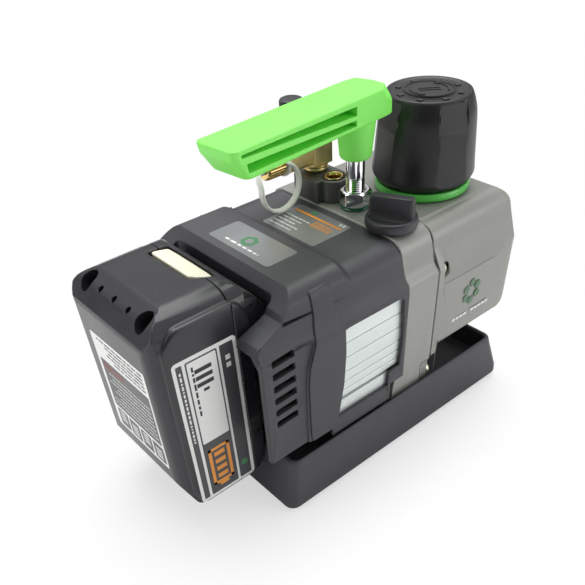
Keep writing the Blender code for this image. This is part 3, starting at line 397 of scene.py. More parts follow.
BLACK = surface("moulded_black", (0.022, 0.0215, 0.026), 0.42, grain=3800, bump=0.10, tint=0.10, edge=0.30)
COVERM = surface("cover_black", (0.041, 0.040, 0.047), 0.48, grain=4200, bump=0.16, tint=0.08, edge=0.30)
TRAYM = surface("tray_black", (0.048, 0.047, 0.056), 0.56, grain=4500, bump=0.20, tint=0.08, edge=0.30)
SATIN = surface("battery_black", (0.019, 0.0185, 0.023), 0.29, grain=3000, bump=0.06, tint=0.10, edge=0.25)
CAPM = surface("cap_black", (0.0085, 0.0085, 0.0095), 0.42, grain=4200, bump=0.22, tint=0.10, edge=0.25)
DEEP = surface("deep_black", (0.008, 0.008, 0.009), 0.6, grain=3000, bump=0.05, edge=0.0)
CAST = surface("grey_cast_paint", (0.268, 0.272, 0.250), 0.40, metal=0.25, grain=2400, bump=0.22, tint=0.05, edge=0.45,
               fleck=(5200.0, 0.72, 1.30, 0.55))
# dark cast paint: the tank gasket's own dark colour, and painted shade on the intake block, which is the same grey
# casting as the flange
CAST_DARK_AND_SHADE = surface("deep_grey_cast_and_painted_shade", (0.075, 0.077, 0.072), 0.42, metal=0.25, grain=2400, bump=0.22, tint=0.06, edge=0.5,
                fleck=(5200.0, 0.72, 1.30, 0.5))
RAWCAST = surface("raw_casting", (0.52, 0.52, 0.50), 0.42, metal=0.85, grain=1500, bump=0.35, tint=0.10, edge=0.2)
FIN = surface("fin_aluminium", (0.66, 0.715, 0.70), 0.42, metal=0.55, grain=900, bump=0.10, tint=0.05, edge=0.3,
              brushed=(0.12, 1.0, 1.0), spec=0.6, fleck=(2600.0, 0.88, 1.10, 0.5))
STEEL = surface("ground_steel", (0.60, 0.60, 0.62), 0.28, metal=1.0, grain=1200, bump=0.06, tint=0.05, edge=0.1, brushed=(1.0, 0.06, 1.0))
ZINC = surface("zinc_screw", (0.78, 0.74, 0.60), 0.30, metal=0.9, grain=1500, bump=0.06, tint=0.08, edge=0.1)
CHROME = surface("chrome", (0.86, 0.86, 0.88), 0.07, metal=1.0, grain=900, bump=0.01, tint=0.02, edge=0.0)
BRASS = surface("brass", (0.72, 0.52, 0.20), 0.24, metal=1.0, grain=1600, bump=0.05, tint=0.10, edge=0.15, cloud=120)
BRASSD = surface("brass_body", (0.80, 0.62, 0.30), 0.36, metal=0.9, grain=1600, bump=0.12, tint=0.16, edge=0.2, cloud=160)
GREEN = surface("handle_green", (0.245, 0.900, 0.130), 0.42, grain=2600, bump=0.10, tint=0.03, edge=0.10, spec=0.45)
RINGG = surface("ring_green", (0.105, 0.600, 0.085), 0.30, grain=2000, bump=0.04, tint=0.04, edge=0.10, coat=0.3)
SEALG = surface("seal_green", (0.010, 0.120, 0.050), 0.15, grain=1500, bump=0.02, tint=0.1, edge=0.1, coat=0.6)
CREAM = surface("cream_plastic", (0.86, 0.83, 0.66), 0.42, grain=3200, bump=0.08, tint=0.03, edge=0.1)
STRAP = surface("white_strap", (0.88, 0.88, 0.84), 0.40, grain=2200, bump=0.05, tint=0.03, edge=0.05)
RUBBER = surface("black_rubber", (0.022, 0.022, 0.022), 0.75, grain=3500, bump=0.25, tint=0.10, edge=0.15)
COPPER = surface("enamelled_copper", (0.66, 0.27, 0.10), 0.32, metal=0.9, grain=1800, bump=0.4, tint=0.12, edge=0.1, brushed=(0.2, 1, 1))
IRON = surface("laminations", (0.22, 0.22, 0.24), 0.45, metal=0.8, grain=2600, bump=0.5, tint=0.1, edge=0.1, brushed=(1.0, 0.03, 0.03))
PCB = surface("board_green", (0.02, 0.16, 0.07), 0.35, grain=900, bump=0.05, tint=0.2, edge=0.0, cloud=260, coat=0.3)
CELL = surface("cell_wrap", (0.08, 0.24, 0.50), 0.30, grain=1200, bump=0.03, tint=0.1, edge=0.0)
FELT = surface("filter_felt", (0.72, 0.70, 0.62), 0.95, grain=1500, bump=0.8, tint=0.12, edge=0.0, sheen=0.3)
WHITEP = surface("print_white", (0.80, 0.81, 0.79), 0.40, grain=2500, bump=0.02, tint=0.02, edge=0.0)
DARKP = surface("print_dark", (0.060, 0.060, 0.066), 0.38, grain=2500, bump=0.02, tint=0.04, edge=0.0)
GREYP = surface("print_grey", (0.10, 0.10, 0.105), 0.45, grain=2500, bump=0.02, tint=0.04, edge=0.0)
BLACKP = surface("print_black", (0.012, 0.012, 0.013), 0.4, grain=2500, bump=0.02, tint=0.04, edge=0.0)
ORANGEP = surface("print_orange", (0.80, 0.30, 0.035), 0.40, grain=2500, bump=0.02, tint=0.03, edge=0.0)
REDP = surface("print_red", (0.20, 0.045, 0.035), 0.45, grain=2500, bump=0.02, tint=0.03, edge=0.0)
GREENP = surface("print_green", (0.05, 0.22, 0.09), 0.45, grain=2500, bump=0.02, tint=0.05, edge=0.0)
SAGEP = surface("print_sage", (0.10, 0.19, 0.11), 0.5, metal=0.1, grain=2400, bump=0.1, tint=0.05, edge=0.0)
LABEL = surface("label_silver", (0.30, 0.31, 0.32), 0.30, metal=0.6, grain=700, bump=0.02, tint=0.12, edge=0.0, brushed=(0.1, 1, 1), cloud=18)


def glass_material():
    mat, nt, b = base_material("clear_glass")
    b.inputs["Base Color"].default_value = (0.92, 0.95, 0.93, 1)
    b.inputs["Roughness"].default_value = 0.03
    b.inputs["Transmission Weight"].default_value = 0.9
    b.inputs["IOR"].default_value = 1.48
    co = nt.nodes.new("ShaderNodeTexCoord")
    n = noise(nt, co, 300.0)
    r = maprange(nt, n.outputs["Fac"], 0.3, 0.7, 0.02, 0.06)
    nt.links.new(r.outputs["Result"], b.inputs["Roughness"])
    return mat


GLASS = glass_material()


# ================================================================= the pieces
# ---------------------------------------------------------------- base tray
hx, hy = 91.6, 62.0


def tray_ring(back, front, side, r, z):
    return [P(a, b, z) for a, b in rounded(hx - (back + front) / 2, hy - side, r, 12, cx=(back - front) / 2)]


tray = loft("tray_shell", [
    tray_ring(2.2, 2.2, 2.2, 4.4, 2.0), tray_ring(1.0, 1.0, 1.0, 5.3, 2.15), tray_ring(0.3, 0.3, 0.3, 5.8, 2.7), tray_ring(0, 0, 0, 6.0, 3.6),
    tray_ring(0.5, 0.5, 0.1, 5.9, 7.4), tray_ring(0.8, 0.9, 0.15, 5.85, 8.8), tray_ring(1.1, 1.9, 0.2, 5.8, 10.6),
    tray_ring(4.0, 12.0, 0.95, 5.4, 33.0), tray_ring(4.3, 12.5, 1.1, 5.3, 34.2), tray_ring(4.7, 13.0, 1.5, 5.0, 35.0),
    tray_ring(5.2, 13.5, 2.0, 4.7, 35.35), tray_ring(5.8, 14.1, 2.4, 4.3, 35.5), tray_ring(6.6, 14.9, 2.9, 3.9, 35.4),
    tray_ring(7.2, 15.5, 3.25, 3.5, 35.0), tray_ring(7.5, 15.9, 3.5, 3.3, 34.3), tray_ring(7.6, 16.0, 3.6, 3.2, 33.0),
    tray_ring(7.8, 16.2, 3.8, 3.1, 23.4), tray_ring(8.1, 16.5, 4.1, 2.9, 22.5), tray_ring(8.9, 17.3, 4.9, 2.6, 22.1), tray_ring(10.5, 19, 6.5, 2.2, 22.0)])
bmu = bmesh.new()
prism("", rounded(hx - 8.2, 34, 5, cx=-3.8), 'Z', -5, 19.0, bm=bmu)
bmu2 = bmesh.new()
prism("", rounded(64, 57.5, 5), 'Z', -5, 19.0, bm=bmu2)
cut(tray, new_object("c1", bmu), new_object("c2", bmu2))
# stiffening ribs under the floor
bmr = bmesh.new()
for xr in (-60, -30, 30, 60):
    box("", (xr - 1.2, xr + 1.2), (-60.0, 60.0), (12.0, 19.6), bm=bmr)
add(tray, new_object("c3", bmr))
bmh = bmesh.new()
for s in (-1, 1):
    lathe("", rod(2.8, 10, 30), 'Z', (6, s * 38), 24, bm=bmh)
    for fx in (-78, 78):
        lathe("", rod(3.3, -3, 12), 'Z', (fx, s * 47), 24, bm=bmh)
cut(tray, new_object("c4", bmh))
place(tray, "pump", TRAYM, "tray_plastic", ("base_tray",), width=0, sharp=45)

for k, (fx, fy) in {"foot_front_near": (78, -47), "foot_front_far": (78, 47),
                    "foot_rear_near": (-78, -47), "foot_rear_far": (-78, 47)}.items():
    f = lathe("rubber_" + k, [(0, 1.7), (2.2, 0.5), (4.4, 0.1), (5.2, 0.0), (7.2, 0.0), (7.8, 0.25), (8.0, 0.8), (8.0, 1.5), (7.8, 1.7), (3.0, 1.75), (3.0, 10.4), (2.4, 11), (0, 11)],
              'Z', (fx, fy), 40)
    place(f, "pump", RUBBER, "black_rubber", (k,), width=0, sharp=50)

# ------------------------------------------------------------- pump flange
SHOULDER = [(0, 124.4), (41.0, 124.4)] + [(41.0 + 10.0 * math.sin(math.radians(a)), 114.4 + 10.0 * math.cos(math.radians(a))) for a in (12, 24, 36, 48, 60, 72, 80)]
FL_HALF = SHOULDER + [(52.6, 109.6), (53.4, 106.9), (54.6, 105.0), (56.6, 103.0), (57.4, 101.4), (57.4, 22.3), (0, 22.3)]
flange = prism("flange_casting", mirror_y(FL_HALF), 'X', -1.5, 21.6)
for s in (-1, 1):
    ys = sorted((s * 35, s * 57.4))
    foot = prism("f", fillet([(5, 46.2), (-7.8, 46.2), (-10.3, 30), (-10.6, 22.4), (5, 22.4)], [0, 1.2, 0, 0, 0], 4), 'Y', *ys)
    add(flange, foot)
bmc = bmesh.new()
lathe("", [(0, 30), (9.3, 30), (9.3, 15.6), (6.0, 15.6), (6.0, 7.6), (11.3, 7.6), (11.3, -5), (0, -5)], 'X', (0, 78), 48, bm=bmc)
lathe("", rod(5.3, 104, 130), 'Z', (11, -4.5), 32, bm=bmc)
lathe("", rod(5.1, 108, 130), 'Z', (7.6, -34.2), 32, bm=bmc)
lathe("", rod(3.5, 102, 130), 'Z', (10.4, 25.7), 24, bm=bmc)
for s in (-1, 1):
    lathe("", rod(2.8, 15, 42), 'Z', (6, s * 38), 24, bm=bmc)
    lathe("", rod(2.8, 8, 30), 'X', (s * 50.6, 98.6), 20, bm=bmc)
    lathe("", rod(2.8, 11.6, 30), 'X', (s * 52.2, 35.4), 20, bm=bmc)
    box("", (14.0, 30), sorted((s * 56.5, s * 60)), (20, 45.8), bm=bmc)
cut(flange, new_object("c", bmc))
place(flange, "pump", CAST, "grey_cast", ("pump_flange",), width=0.8, seg=3, angle=25)

# --------------------------------------------------------------- oil tank
T_SHOULDER = [(0, 124.4), (39.4, 124.4), (40.6, 123.5), (42.2, 123.4)] + \
    [(41.2 + 9.6 * math.sin(math.radians(a)), 113.9 + 9.6 * math.cos(math.radians(a))) for a in (14, 26, 38, 50, 62, 74, 84)]
T_HALF = T_SHOULDER + [(51.3, 112.4), (56.5, 93.4), (57.0, 91.9), (57.2, 90.4), (57.2, 57.0)] + \
    [(52.2 + 5.0 * math.cos(math.radians(a)), 56.0 + 5.6 * math.sin(math.radians(a))) for a in (-10, -26, -42, -58, -74, -90)] + [(0, 50.2)]
T_SIDE = [(22.7, 49.9), (60.0, 49.9), (72.0, 50.6)] + fillet([(72.0, 50.6), (90.0, 53.6), (93.4, 72.0), (93.0, 80.0), (89.2, 107.0), (86.8, 124.4), (70.0, 124.4)],
                                                             [0, 9.0, 16.0, 16.0, 20.0, 9.5, 0], 8)[1:] + [(22.7, 124.4)]
tank = prism("tank_casting", mirror_y(T_HALF), 'X', 22.7, 96)
keep(tank, prism("c", T_SIDE, 'Y', -70, 70))
# plan rounding of the two front corners
keep(tank, prism("c", fillet([(10, -57.2), (27.2, -57.2), (94.5, -56.2), (94.5, 56.2), (27.2, 57.2), (10, 57.2)], [0, 0, 7.5, 7.5, 0, 0], 7), 'Z', 20, 150))
plate = prism("c", fillet([(0, 123.4), (41.0, 123.4), (50.4, 114.0), (57.2, 101.5), (57.2, 47.6), (55.4, 45.2), (51.6, 44.4), (0, 44.4)] +
                          [(-51.6, 44.4), (-55.4, 45.2), (-57.2, 47.6), (-57.2, 101.5), (-50.4, 114.0), (-41.0, 123.4)], 1.2, 3), 'X', 22.71, 27.2)
add(tank, plate)
add(tank, lathe("c", rod(19.0, 119, 141.0, 0.8), 'Z', (56.5, -11.2), 56),
    lathe("c", rod(14.8, 82, 93.75, 0.5), 'X', (0, 80), 48),
    lathe("c", rod(8.8, 82, 93.75, 0.5), 'X', (26, 65), 40))
inner = prism("c", mirror_y([(0, 120.9), (41.5, 120.9), (45.5, 118.6), (49.0, 109.0), (53.7, 100.8), (53.7, 57.0), (51.5, 53.6), (0, 53.6)]), 'X', 10, 96)
keep(inner, prism("c", [(0, 53.2), (70.0, 53.8), (84.0, 56.4), (89.0, 66.0), (89.0, 78.0), (85.8, 105.0), (83.5, 115.0), (79.0, 120.9), (0, 120.9)], 'Y', -70, 70))
keep(inner, prism("c", fillet([(0, -53.7), (90.5, -51.9), (90.5, 51.9), (0, 53.7)], [0, 9.0, 9.0, 0], 6), 'Z', 20, 150))
for s in (-1, 1):
    cut(inner, box("c", (0, 41.5), sorted((s * 43.0, s * 70.0)), (89.0, 108.0)))
cut(tank, inner)
bmc = bmesh.new()
lathe("", rod(16.4, 110, 150), 'Z', (56.5, -11.2), 40, bm=bmc)
lathe("", rod(11.6, 80, 100), 'X', (0, 80), 40, bm=bmc)
lathe("", rod(4.4, 80, 100), 'X', (26, 65), 28, bm=bmc)
for s in (-1, 1):
    lathe("", rod(2.8, 10, 40), 'X', (s * 50.6, 98.6), 20, bm=bmc)
cut(tank, new_object("c", bmc))
for s in (-1, 1):
    # shallow tilted facet along the side, with a crisp lower edge and a round-ended screw pocket at its start
    fac = loft("c", [
        [P(27.3, s * 56.35, 91.6), P(27.3, s * 70, 91.6), P(27.3, s * 70, 111.2), P(27.3, s * 51.9, 111.2)],
        [P(71.0, s * 55.95, 90.6), P(71.0, s * 70, 90.6), P(71.0, s * 70, 111.2), P(71.0, s * 51.9, 111.2)],
        [P(79.0, s * 57.2, 91.4), P(79.0, s * 70, 91.4), P(79.0, s * 70, 111.2), P(79.0, s * 53.2, 111.2)]])
    pocket = prism("c", fillet([(27.4, 94.6), (33.6, 94.6), (33.6, 102.8), (27.4, 102.8)], [0.4, 4.0, 4.0, 0.4], 6), 'Y', *sorted((s * 47.0, s * 66)))
    cut(tank, fac, pocket)
place(tank, "pump", CAST, "grey_cast", ("oil_tank",), width=0.55, seg=3, angle=24)

gask = prism("tank_gasket_edge", fillet(mirror_y([(0, 123.6), (42.0, 123.6), (46.6, 121.4), (50.4, 115.0), (53.6, 105.3), (56.8, 101.9), (56.8, 48.4), (55.0, 46.0), (51.0, 45.2), (0, 45.2)]), 1.0, 3),
              'X', 21.75, 22.55)
cut(gask, prism("c", mirror_y([(0, 118), (40, 118), (42.3, 108), (42.3, 54), (0, 54)]), 'X', 10, 30))
bmc = bmesh.new()
for s in (-1, 1):
    lathe("", rod(2.9, 10, 30), 'X', (s * 50.6, 98.6), 16, bm=bmc)
cut(gask, new_object("c", bmc))
place(gask, "pump", CAST_DARK_AND_SHADE, "black_rubber", ("tank_gasket",), width=0, sharp=40)


def screw(name, axis, centre, seat, r, h, shank, tip, mat, node, socket=2.1, away=1):
    """Button-head screw: head from seat outwards (away is +1 or -1 along the axis), hex socket."""
    a = away
    prof = [(0, seat + a * h)] + [(r * math.sin(math.radians(t)), seat + a * (h * 0.30 + h * 0.70 * math.cos(math.radians(t)))) for t in (14, 28, 42, 56, 70, 82, 90)] + \
        [(r, seat), (shank, seat), (shank, tip), (0, tip)]
    ob = lathe(name, prof if a > 0 else prof[::-1], axis, centre, 36)
    hexa = [(centre[0] + socket * math.cos(math.radians(60 * i + 10)), centre[1] + socket * math.sin(math.radians(60 * i + 10))) for i in range(6)]
    cut(ob, prism("c", hexa, axis, *sorted((seat + a * h * 0.35, seat + a * h * 2))))
    place(ob, "pump", mat, "steel", (node,), width=0, sharp=40)


screw("tank_screw_head_near", 'X', (-50.6, 98.6), 28.5, 4.3, 4.6, 2.5, 9.0, ZINC, "tank_screw_near")
screw("tank_screw_head_far", 'X', (50.6, 98.6), 28.5, 4.3, 4.6, 2.5, 9.0, ZINC, "tank_screw_far")
screw("foot_screw_head_near", 'X', (-52.2, 35.4), 21.9, 4.2, 4.4, 2.5, 12.5, ZINC, "foot_screw_near")
screw("foot_screw_head_far", 'X', (52.2, 35.4), 21.9, 4.2, 4.4, 2.5, 12.5, ZINC, "foot_screw_far")

sb = lathe("sight_bezel_ring", [(9.0, 96.1), (9.3, 96.4), (12.6, 96.4), (13.3, 96.1), (13.6, 95.4), (13.6, 93.9), (11.3, 93.9), (11.3, 86.5), (9.0, 86.5)][::-1], 'X', (0, 80), 64)
place(sb, "pump", CHROME, "chrome", ("sight_bezel",), width=0, sharp=35)
sg = lathe("sight_lens", [(0, 91.0), (8.7, 91.0), (8.7, 95.2), (7.6, 95.5), (4.0, 95.9), (0, 96.0)], 'X', (0, 80), 48)
place(sg, "pump", GLASS, "clear_glass", ("sight_glass",), width=0, sharp=30)
bms = bmesh.new()
lathe("", [(0, 88.2), (8.6, 88.2), (8.6, 89.0), (0, 89.0)], 'X', (0, 80), 40, bm=bms)
sd = new_object("sight_backing", bms)
place(sd, "pump", CREAM, "cream_plastic", width=0, sharp=30)
bml = bmesh.new()
box("", (89.02, 89.15), (-6.0, 6.0), (84.0, 84.6), bm=bml)
box("", (89.02, 89.15), (-6.0, 6.0), (76.0, 76.6), bm=bml)
sl = new_object("sight_level_marks", bml)
place(sl, "pump", REDP, "cream_plastic", width=0, sharp=30)

ds = lathe("drain_oring", tube(4.4, 6.8, 93.9, 94.9), 'X', (26, 65), 40)
place(ds, "drain_seal", RUBBER, "black_rubber", ("drain_seal",), width=0.3, seg=3)
dp = lathe("drain_plug_body", [(0, 99.7), (5.2, 99.7), (6.2, 99.3), (6.9, 98.5), (6.9, 95.2), (4.0, 95.2)] +
           [(4.0 - (0.45 if i % 2 else 0.0), 95.0 - 0.72 * i) for i in range(1, 13)] + [(3.4, 85.4), (0, 85.4)], 'X', (26, 65), 48)
cut(dp, prism("c", [(26 + 3.2 * math.cos(math.radians(60 * i)), 65 + 3.2 * math.sin(math.radians(60 * i))) for i in range(6)], 'X', 96.6, 105))
place(dp, "drain_plug", BRASS, "brass", ("drain_plug",), width=0, sharp=35)

# --------------------------------------------------------------- motor cover
C_SHOULDER = [(0, 130), (41.0, 130), (41.0, 126.4)] + \
    [(41.0 + 10.6 * math.sin(math.radians(a)), 115.8 + 10.6 * math.cos(math.radians(a))) for a in (10, 22, 34, 46, 58, 70)]
C_HALF = C_SHOULDER + [(52.6, 112.8), (53.9, 108.8), (55.6, 105.4), (57.6, 102.6), (58.4, 100.0), (58.4, 30), (0, 30)]
C_SIDE = fillet([(-98.2, 41.6), (-57, 41.6), (-57, 35.9), (-1.9, 35.9), (-1.9, 123.4), (-36, 123.4), (-39.2, 126.4), (-69.5, 126.4), (-75, 121.6),
                 (-79.0, 118.6), (-80.6, 115.9), (-86, 113.5), (-96.2, 110.0), (-98.2, 106.5)],
                [1.5, 1.0, 0.5, 0.4, 0.4, 3.0, 3.0, 1.8, 2.0, 2.0, 1.5, 3.0, 2.5, 2.0], 4)
# the front part is 3 mm lower and keeps a round shoulder of its own
C_FRONT = [(0, 130), (39.5, 130), (39.5, 123.4)] + \
    [(39.5 + 12.6 * math.sin(math.radians(a)), 112.9 + 10.5 * math.cos(math.radians(a))) for a in (10, 22, 34, 46, 58, 70)] + C_HALF[len(C_SHOULDER):]
cover = loft("cover_shell", [[P(x, a, b) for a, b in mirror_y(half)] for x, half in ((-100.2, C_HALF), (-40.0, C_HALF), (-36.0, C_FRONT), (-1.9, C_FRONT))])
keep(cover, prism("c", C_SIDE, 'Y', -70, 70))
CI = [(0, 121.0), (40.0, 121.0), (43.5, 120.0), (47.4, 116.5), (52.0, 107.0), (56.2, 100.5), (56.2, 20), (0, 20)]
keep(cover, prism("c", fillet([(-98.2, -58.4), (10, -58.4), (10, 58.4), (-98.2, 58.4)], [3.4, 0, 0, 3.4], 6), 'Z', 20, 150))
cut(cover, prism("c", mirror_y(CI), 'X', -71.6, 10), prism("c", rounded(18.2, 39.4, 3.0, 5, cx=-92.6), 'Z', 10, 150))
# the two cheeks beside the battery are thin walls, open towards the rear
hollow = prism("c", mirror_y([(0, 118.5), (38.5, 118.5), (44.4, 114.4), (49.4, 106.8), (52.0, 103.4), (54.5, 99.8), (54.5, 20)]), 'X', -110, -73.2)
keep(hollow, prism("c", [(-112, 10), (-112, 104.6), (-96.0, 106.2), (-86.5, 109.6), (-79.0, 112.4), (-76.2, 115.6), (-70.0, 118.0), (-70.0, 10)], 'Y', -70, 70))
cut(cover, hollow)
WIN = fillet([(-52.9, 46.5), (-14.4, 46.5), (-14.2, 55.4), (-5.8, 56.4), (-4.4, 75), (-5.6, 97.4), (-7.6, 99.3), (-47.4, 99.7), (-46.9, 86.0), (-48.4, 68.3)],
             [1.2, 0.9, 0.9, 0.9, 20, 1.2, 0.9, 1.0, 30, 30], 6)
STEP = fillet([(-110, 30), (-73.4, 30), (-73.5, 50), (-73.1, 80), (-71.9, 89.1), (-63.6, 112.3), (-61.2, 122), (-60.8, 140), (-110, 140)],
              [0, 0, 0, 10, 4, 6, 0, 0, 0], 5)
for s in (-1, 1):
    sy = sorted((s * 50.0, s * 65.0))
    # the wall behind the step band is set in; the shield in front of it stands proud
    stepc = prism("c", STEP, 'Y', *sorted((s * 57.15, s * 62.0)))
    bmv = bmesh.new()
    for i in range(6):
        zc = 101.8 - 7.25 * i
        prism("", fillet([(-91.8, zc - 2.2), (-78.6, zc - 1.7), (-78.6, zc + 2.1), (-91.8, zc + 1.6)], 0.95, 5), 'Y', sy[0], sy[1], bm=bmv)
    win = prism("c", WIN, 'Y', sy[0], sy[1])
    notch = box("c", (-12.2, 5), sorted((s * 34, s * 70)), (30, 46.6))
    cut(cover, stepc)
    cut(cover, win, new_object("c", bmv), notch)
cut(cover, box("c", (-67.8, -56.2), (50, 65), (58.0, 80.0)))
place(cover, "pump", COVERM, "black_plastic", ("motor_cover",), width=0.6, seg=3, angle=24)

# near-black plates behind the vents: painted shade standing in for the shadowed inside seen through them
for s in (-1, 1):
    w = box("vent_shade_plate_%s" % ("near" if s < 0 else "far"), (-93.5, -73.3), sorted((s * 52.2, s * 53.0)), (45, 101.5))
    place(w, "pump", DEEP, "black_plastic", width=0, sharp=30)

for s, tag in ((-1, "near"), (1, "far")):
    # raised shield: a long plate with a turned-over ridge on top and a front edge that follows the window
    out = fillet([(-62.4, 123.0), (-51.8, 123.4), (-50.2, 121.8), (-49.4, 110.6), (-47.7, 99.9), (-47.3, 86.9), (-48.7, 68.3), (-52.9, 48.0), (-54.9, 41.9),
                  (-71.6, 41.9), (-72.2, 48.6), (-72.1, 80), (-70.9, 89.4), (-62.9, 112.3)],
                 [1.0, 1.0, 1.5, 6, 4, 30, 30, 3, 1.0, 1.4, 4, 12, 6, 6], 4)
    lo_y, hi_y = 57.9, 59.25
    shield = prism("side_shield_" + tag, out, 'Y', *sorted((s * lo_y, s * hi_y)))
    # the upper part follows the cover's shoulder, so it is cut back to a skin over it
    keep(shield, prism("c", mirror_y([(0, 131), (42.0, 131)] + [(a + 0.75, b + 0.35) for a, b in C_SHOULDER[3:]] +
                                     [(53.4, 113.1), (54.7, 109.1), (56.4, 105.7), (58.4, 102.9), (59.25, 100.2), (59.25, 30), (0, 30)]), 'X', -80, -40))
    upper = prism("c2", out, 'Y', *sorted((s * 44.0, s * 58.2)))
    keep(upper, prism("c", mirror_y([(0, 126.9), (41.2, 127.0)] + [(a + 0.75, b + 0.35) for a, b in C_SHOULDER[3:]] +
                                    [(53.4, 113.1), (54.7, 109.1), (56.4, 105.7), (58.4, 102.9), (59.25, 100.2), (59.25, 99), (0, 99)]), 'X', -80, -40))
    cut(upper, prism("c", mirror_y([(0, 126.0), (40.9, 126.0)] + [(a - 0.6, b - 0.5) for a, b in C_SHOULDER[3:]] +
                                   [(52.0, 112.4), (53.3, 108.4), (55.0, 105.0), (57.0, 102.2), (57.8, 99.8), (57.8, 90), (0, 90)]), 'X', -85, -35))
    add(shield, upper)
    if s > 0:
        # opening for the on/off switch
        cut(shield, box("c", (-67.6, -56.4), (50, 65), (58.2, 79.8)))
    place(shield, "pump", COVERM, "black_plastic", width=0.5, seg=3, angle=26)

# on/off rocker
bez = prism("switch_frame", [(a, b) for a, b in rounded(7.5, 13.0, 1.6, 5, -62.0, 69.0)], 'Y', 58.75, 59.9)
add(bez, box("c", (-67.3, -56.7), (50.2, 59.0), (58.6, 79.4)))
cut(bez, box("c", (-66.2, -57.8), (52.0, 62.0), (60.0, 78.0)))
place(bez, "pump", BLACK, "black_plastic", ("switch_bezel",), width=0.3, seg=2)
rk = prism("rocker_key", fillet([(54.6, 63.2), (57.0, 61.0), (60.4, 61.1), (59.5, 69.0), (61.6, 76.9), (57.0, 77.0), (54.6, 74.8)], [0, 1, 0.8, 8, 0.8, 1, 0], 4), 'X', -65.8, -58.2)
place(rk, "rocker", RUBBER, "black_rubber", ("switch_rocker",), width=0.35, seg=2)
bmk = bmesh.new()
box("", (-62.35, -61.65), (60.35, 60.95), (72.2, 75.6), bm=bmk)
rm1 = new_object("rocker_mark_line", bmk)
place(rm1, "rocker", WHITEP, "white_plastic", width=0, sharp=30)
rm2 = lathe("rocker_mark_ring", [(1.5, 60.7), (1.5, 59.6), (1.0, 59.6), (1.0, 60.7)], 'Y', (-62.0, 64.2), 32)
place(rm2, "rocker", WHITEP, "white_plastic", width=0, sharp=30)


# ---------------------------------------------------- printed labels, generic
def dec(name, shapes, axis, lo, hi, mat, body, slot="black_plastic"):
    """One print colour: a list of outlines as one thin piece."""
    bm = bmesh.new()
    for pts in shapes:
        prism("", pts, axis, lo, hi, bm=bm)
    ob = new_object(name, bm)
    return place(ob, body, mat, slot, width=0, sharp=30)


def rect(x0, x1, y0, y1, r=0.0):
    if r <= 0:
        return [(x0, y0), (x1, y0), (x1, y1), (x0, y1)]
    return rounded((x1 - x0) / 2, (y1 - y0) / 2, r, 4, (x0 + x1) / 2, (y0 + y1) / 2)


def lines(x0, x1, y0, y1, count, thick, lo=0.55, dashes=3, along='a'):
    """Rows of plain dashes that stand for small print."""
    out = []
    for i in range(count):
        t = (i + 0.5) / count
        if along == 'a':
            y = y0 + (y1 - y0) * t
            end = x0 + (x1 - x0) * (lo + (1 - lo) * RND.random())
            x = x0
            while x < end - 0.6:
                w = min(end - x, (x1 - x0) / dashes * (0.25 + 0.6 * RND.random()))
                out.append(rect(x, x + w, y - thick / 2, y + thick / 2))
                x += w + thick * 0.9
        else:
            x = x0 + (x1 - x0) * t
            end = y1 - (y1 - y0) * (lo + (1 - lo) * RND.random())
            y = y1
            while y > end + 0.6:
                w = min(y - end, (y1 - y0) / dashes * (0.25 + 0.6 * RND.random()))
                out.append(rect(x - thick / 2, x + thick / 2, y - w, y))
                y -= w + thick * 0.9
    return out


# two silver labels on the cover's top
Z1, Z2 = 126.4, 123.4
dec("top_label_rear", [rect(-65.3, -45.6, -24, 24, 2.0)], 'Z', Z1 - 0.05, Z1 + 0.12, LABEL, "pump", "bare_aluminium")
dec("top_label_rear_sign", [[(-55.4 + 5.0 * math.cos(math.radians(60 * i)), 2.0 + 5.0 * math.sin(math.radians(60 * i))) for i in range(6)]],
    'Z', Z1 + 0.1, Z1 + 0.17, GREENP, "pump")
dec("top_label_rear_sign_core", [[(-55.4 + 2.6 * math.cos(math.radians(60 * i)), 2.0 + 2.6 * math.sin(math.radians(60 * i))) for i in range(6)]],
    'Z', Z1 + 0.12, Z1 + 0.20, LABEL, "pump", "bare_aluminium")
dec("top_label_rear_print", lines(-62.0, -60.4, -13, 14, 1, 1.3, 0.95, 5, 'b'), 'Z', Z1 + 0.1, Z1 + 0.17, WHITEP, "pump")
dec("top_label_front", [rect(-33.5, -5.9, -20, 20, 1.6)], 'Z', Z2 - 0.05, Z2 + 0.12, LABEL, "pump", "bare_aluminium")
dec("top_label_front_orange", [rect(-12.6, -11.0, -17.5, 18.0)] + lines(-20.0, -14.2, -17.0, -2.0, 4, 0.75, 0.8, 3, 'b'), 'Z', Z2 + 0.1, Z2 + 0.17, ORANGEP, "pump")
dec("top_label_front_print", lines(-31.4, -13.8, -1.0, 18.0, 6, 0.65, 0.7, 3, 'b')[:22] + [rect(-9.4, -7.2, -17.0, -15.6), rect(-9.4, -7.2, -14.6, -13.2)],
    'Z', Z2 + 0.1, Z2 + 0.17, WHITEP, "pump")
dec("top_label_front_sign", [[(-8.6 + 2.0 * math.cos(math.radians(60 * i)), 6.0 + 2.0 * math.sin(math.radians(60 * i))) for i in range(6)]],
    'Z', Z2 + 0.1, Z2 + 0.17, GREENP, "pump")

# plain sign on the tank's side: a ring of six blocks and a short rule
for s, tag in ((-1, "near"), (1, "far")):
    hexes = []
    for i in range(6):
        a = math.radians(60 * i + 30)
        hexes.append([(54.0 + 5.6 * math.cos(a) + 2.6 * math.cos(math.radians(60 * k)), 76.5 + 5.6 * math.sin(a) + 2.6 * math.sin(math.radians(60 * k))) for k in range(6)])
    dec("tank_sign_" + tag, hexes, 'Y', *sorted((s * 57.1, s * 57.27)), SAGEP, "pump", "grey_cast")
    dec("tank_rule_" + tag, [rect(39.0 + 3.3 * k, 41.6 + 3.3 * k, 62.6, 64.2) for k in range(10) if k != 4], 'Y', *sorted((s * 57.1, s * 57.28)), WHITEP, "pump", "grey_cast")

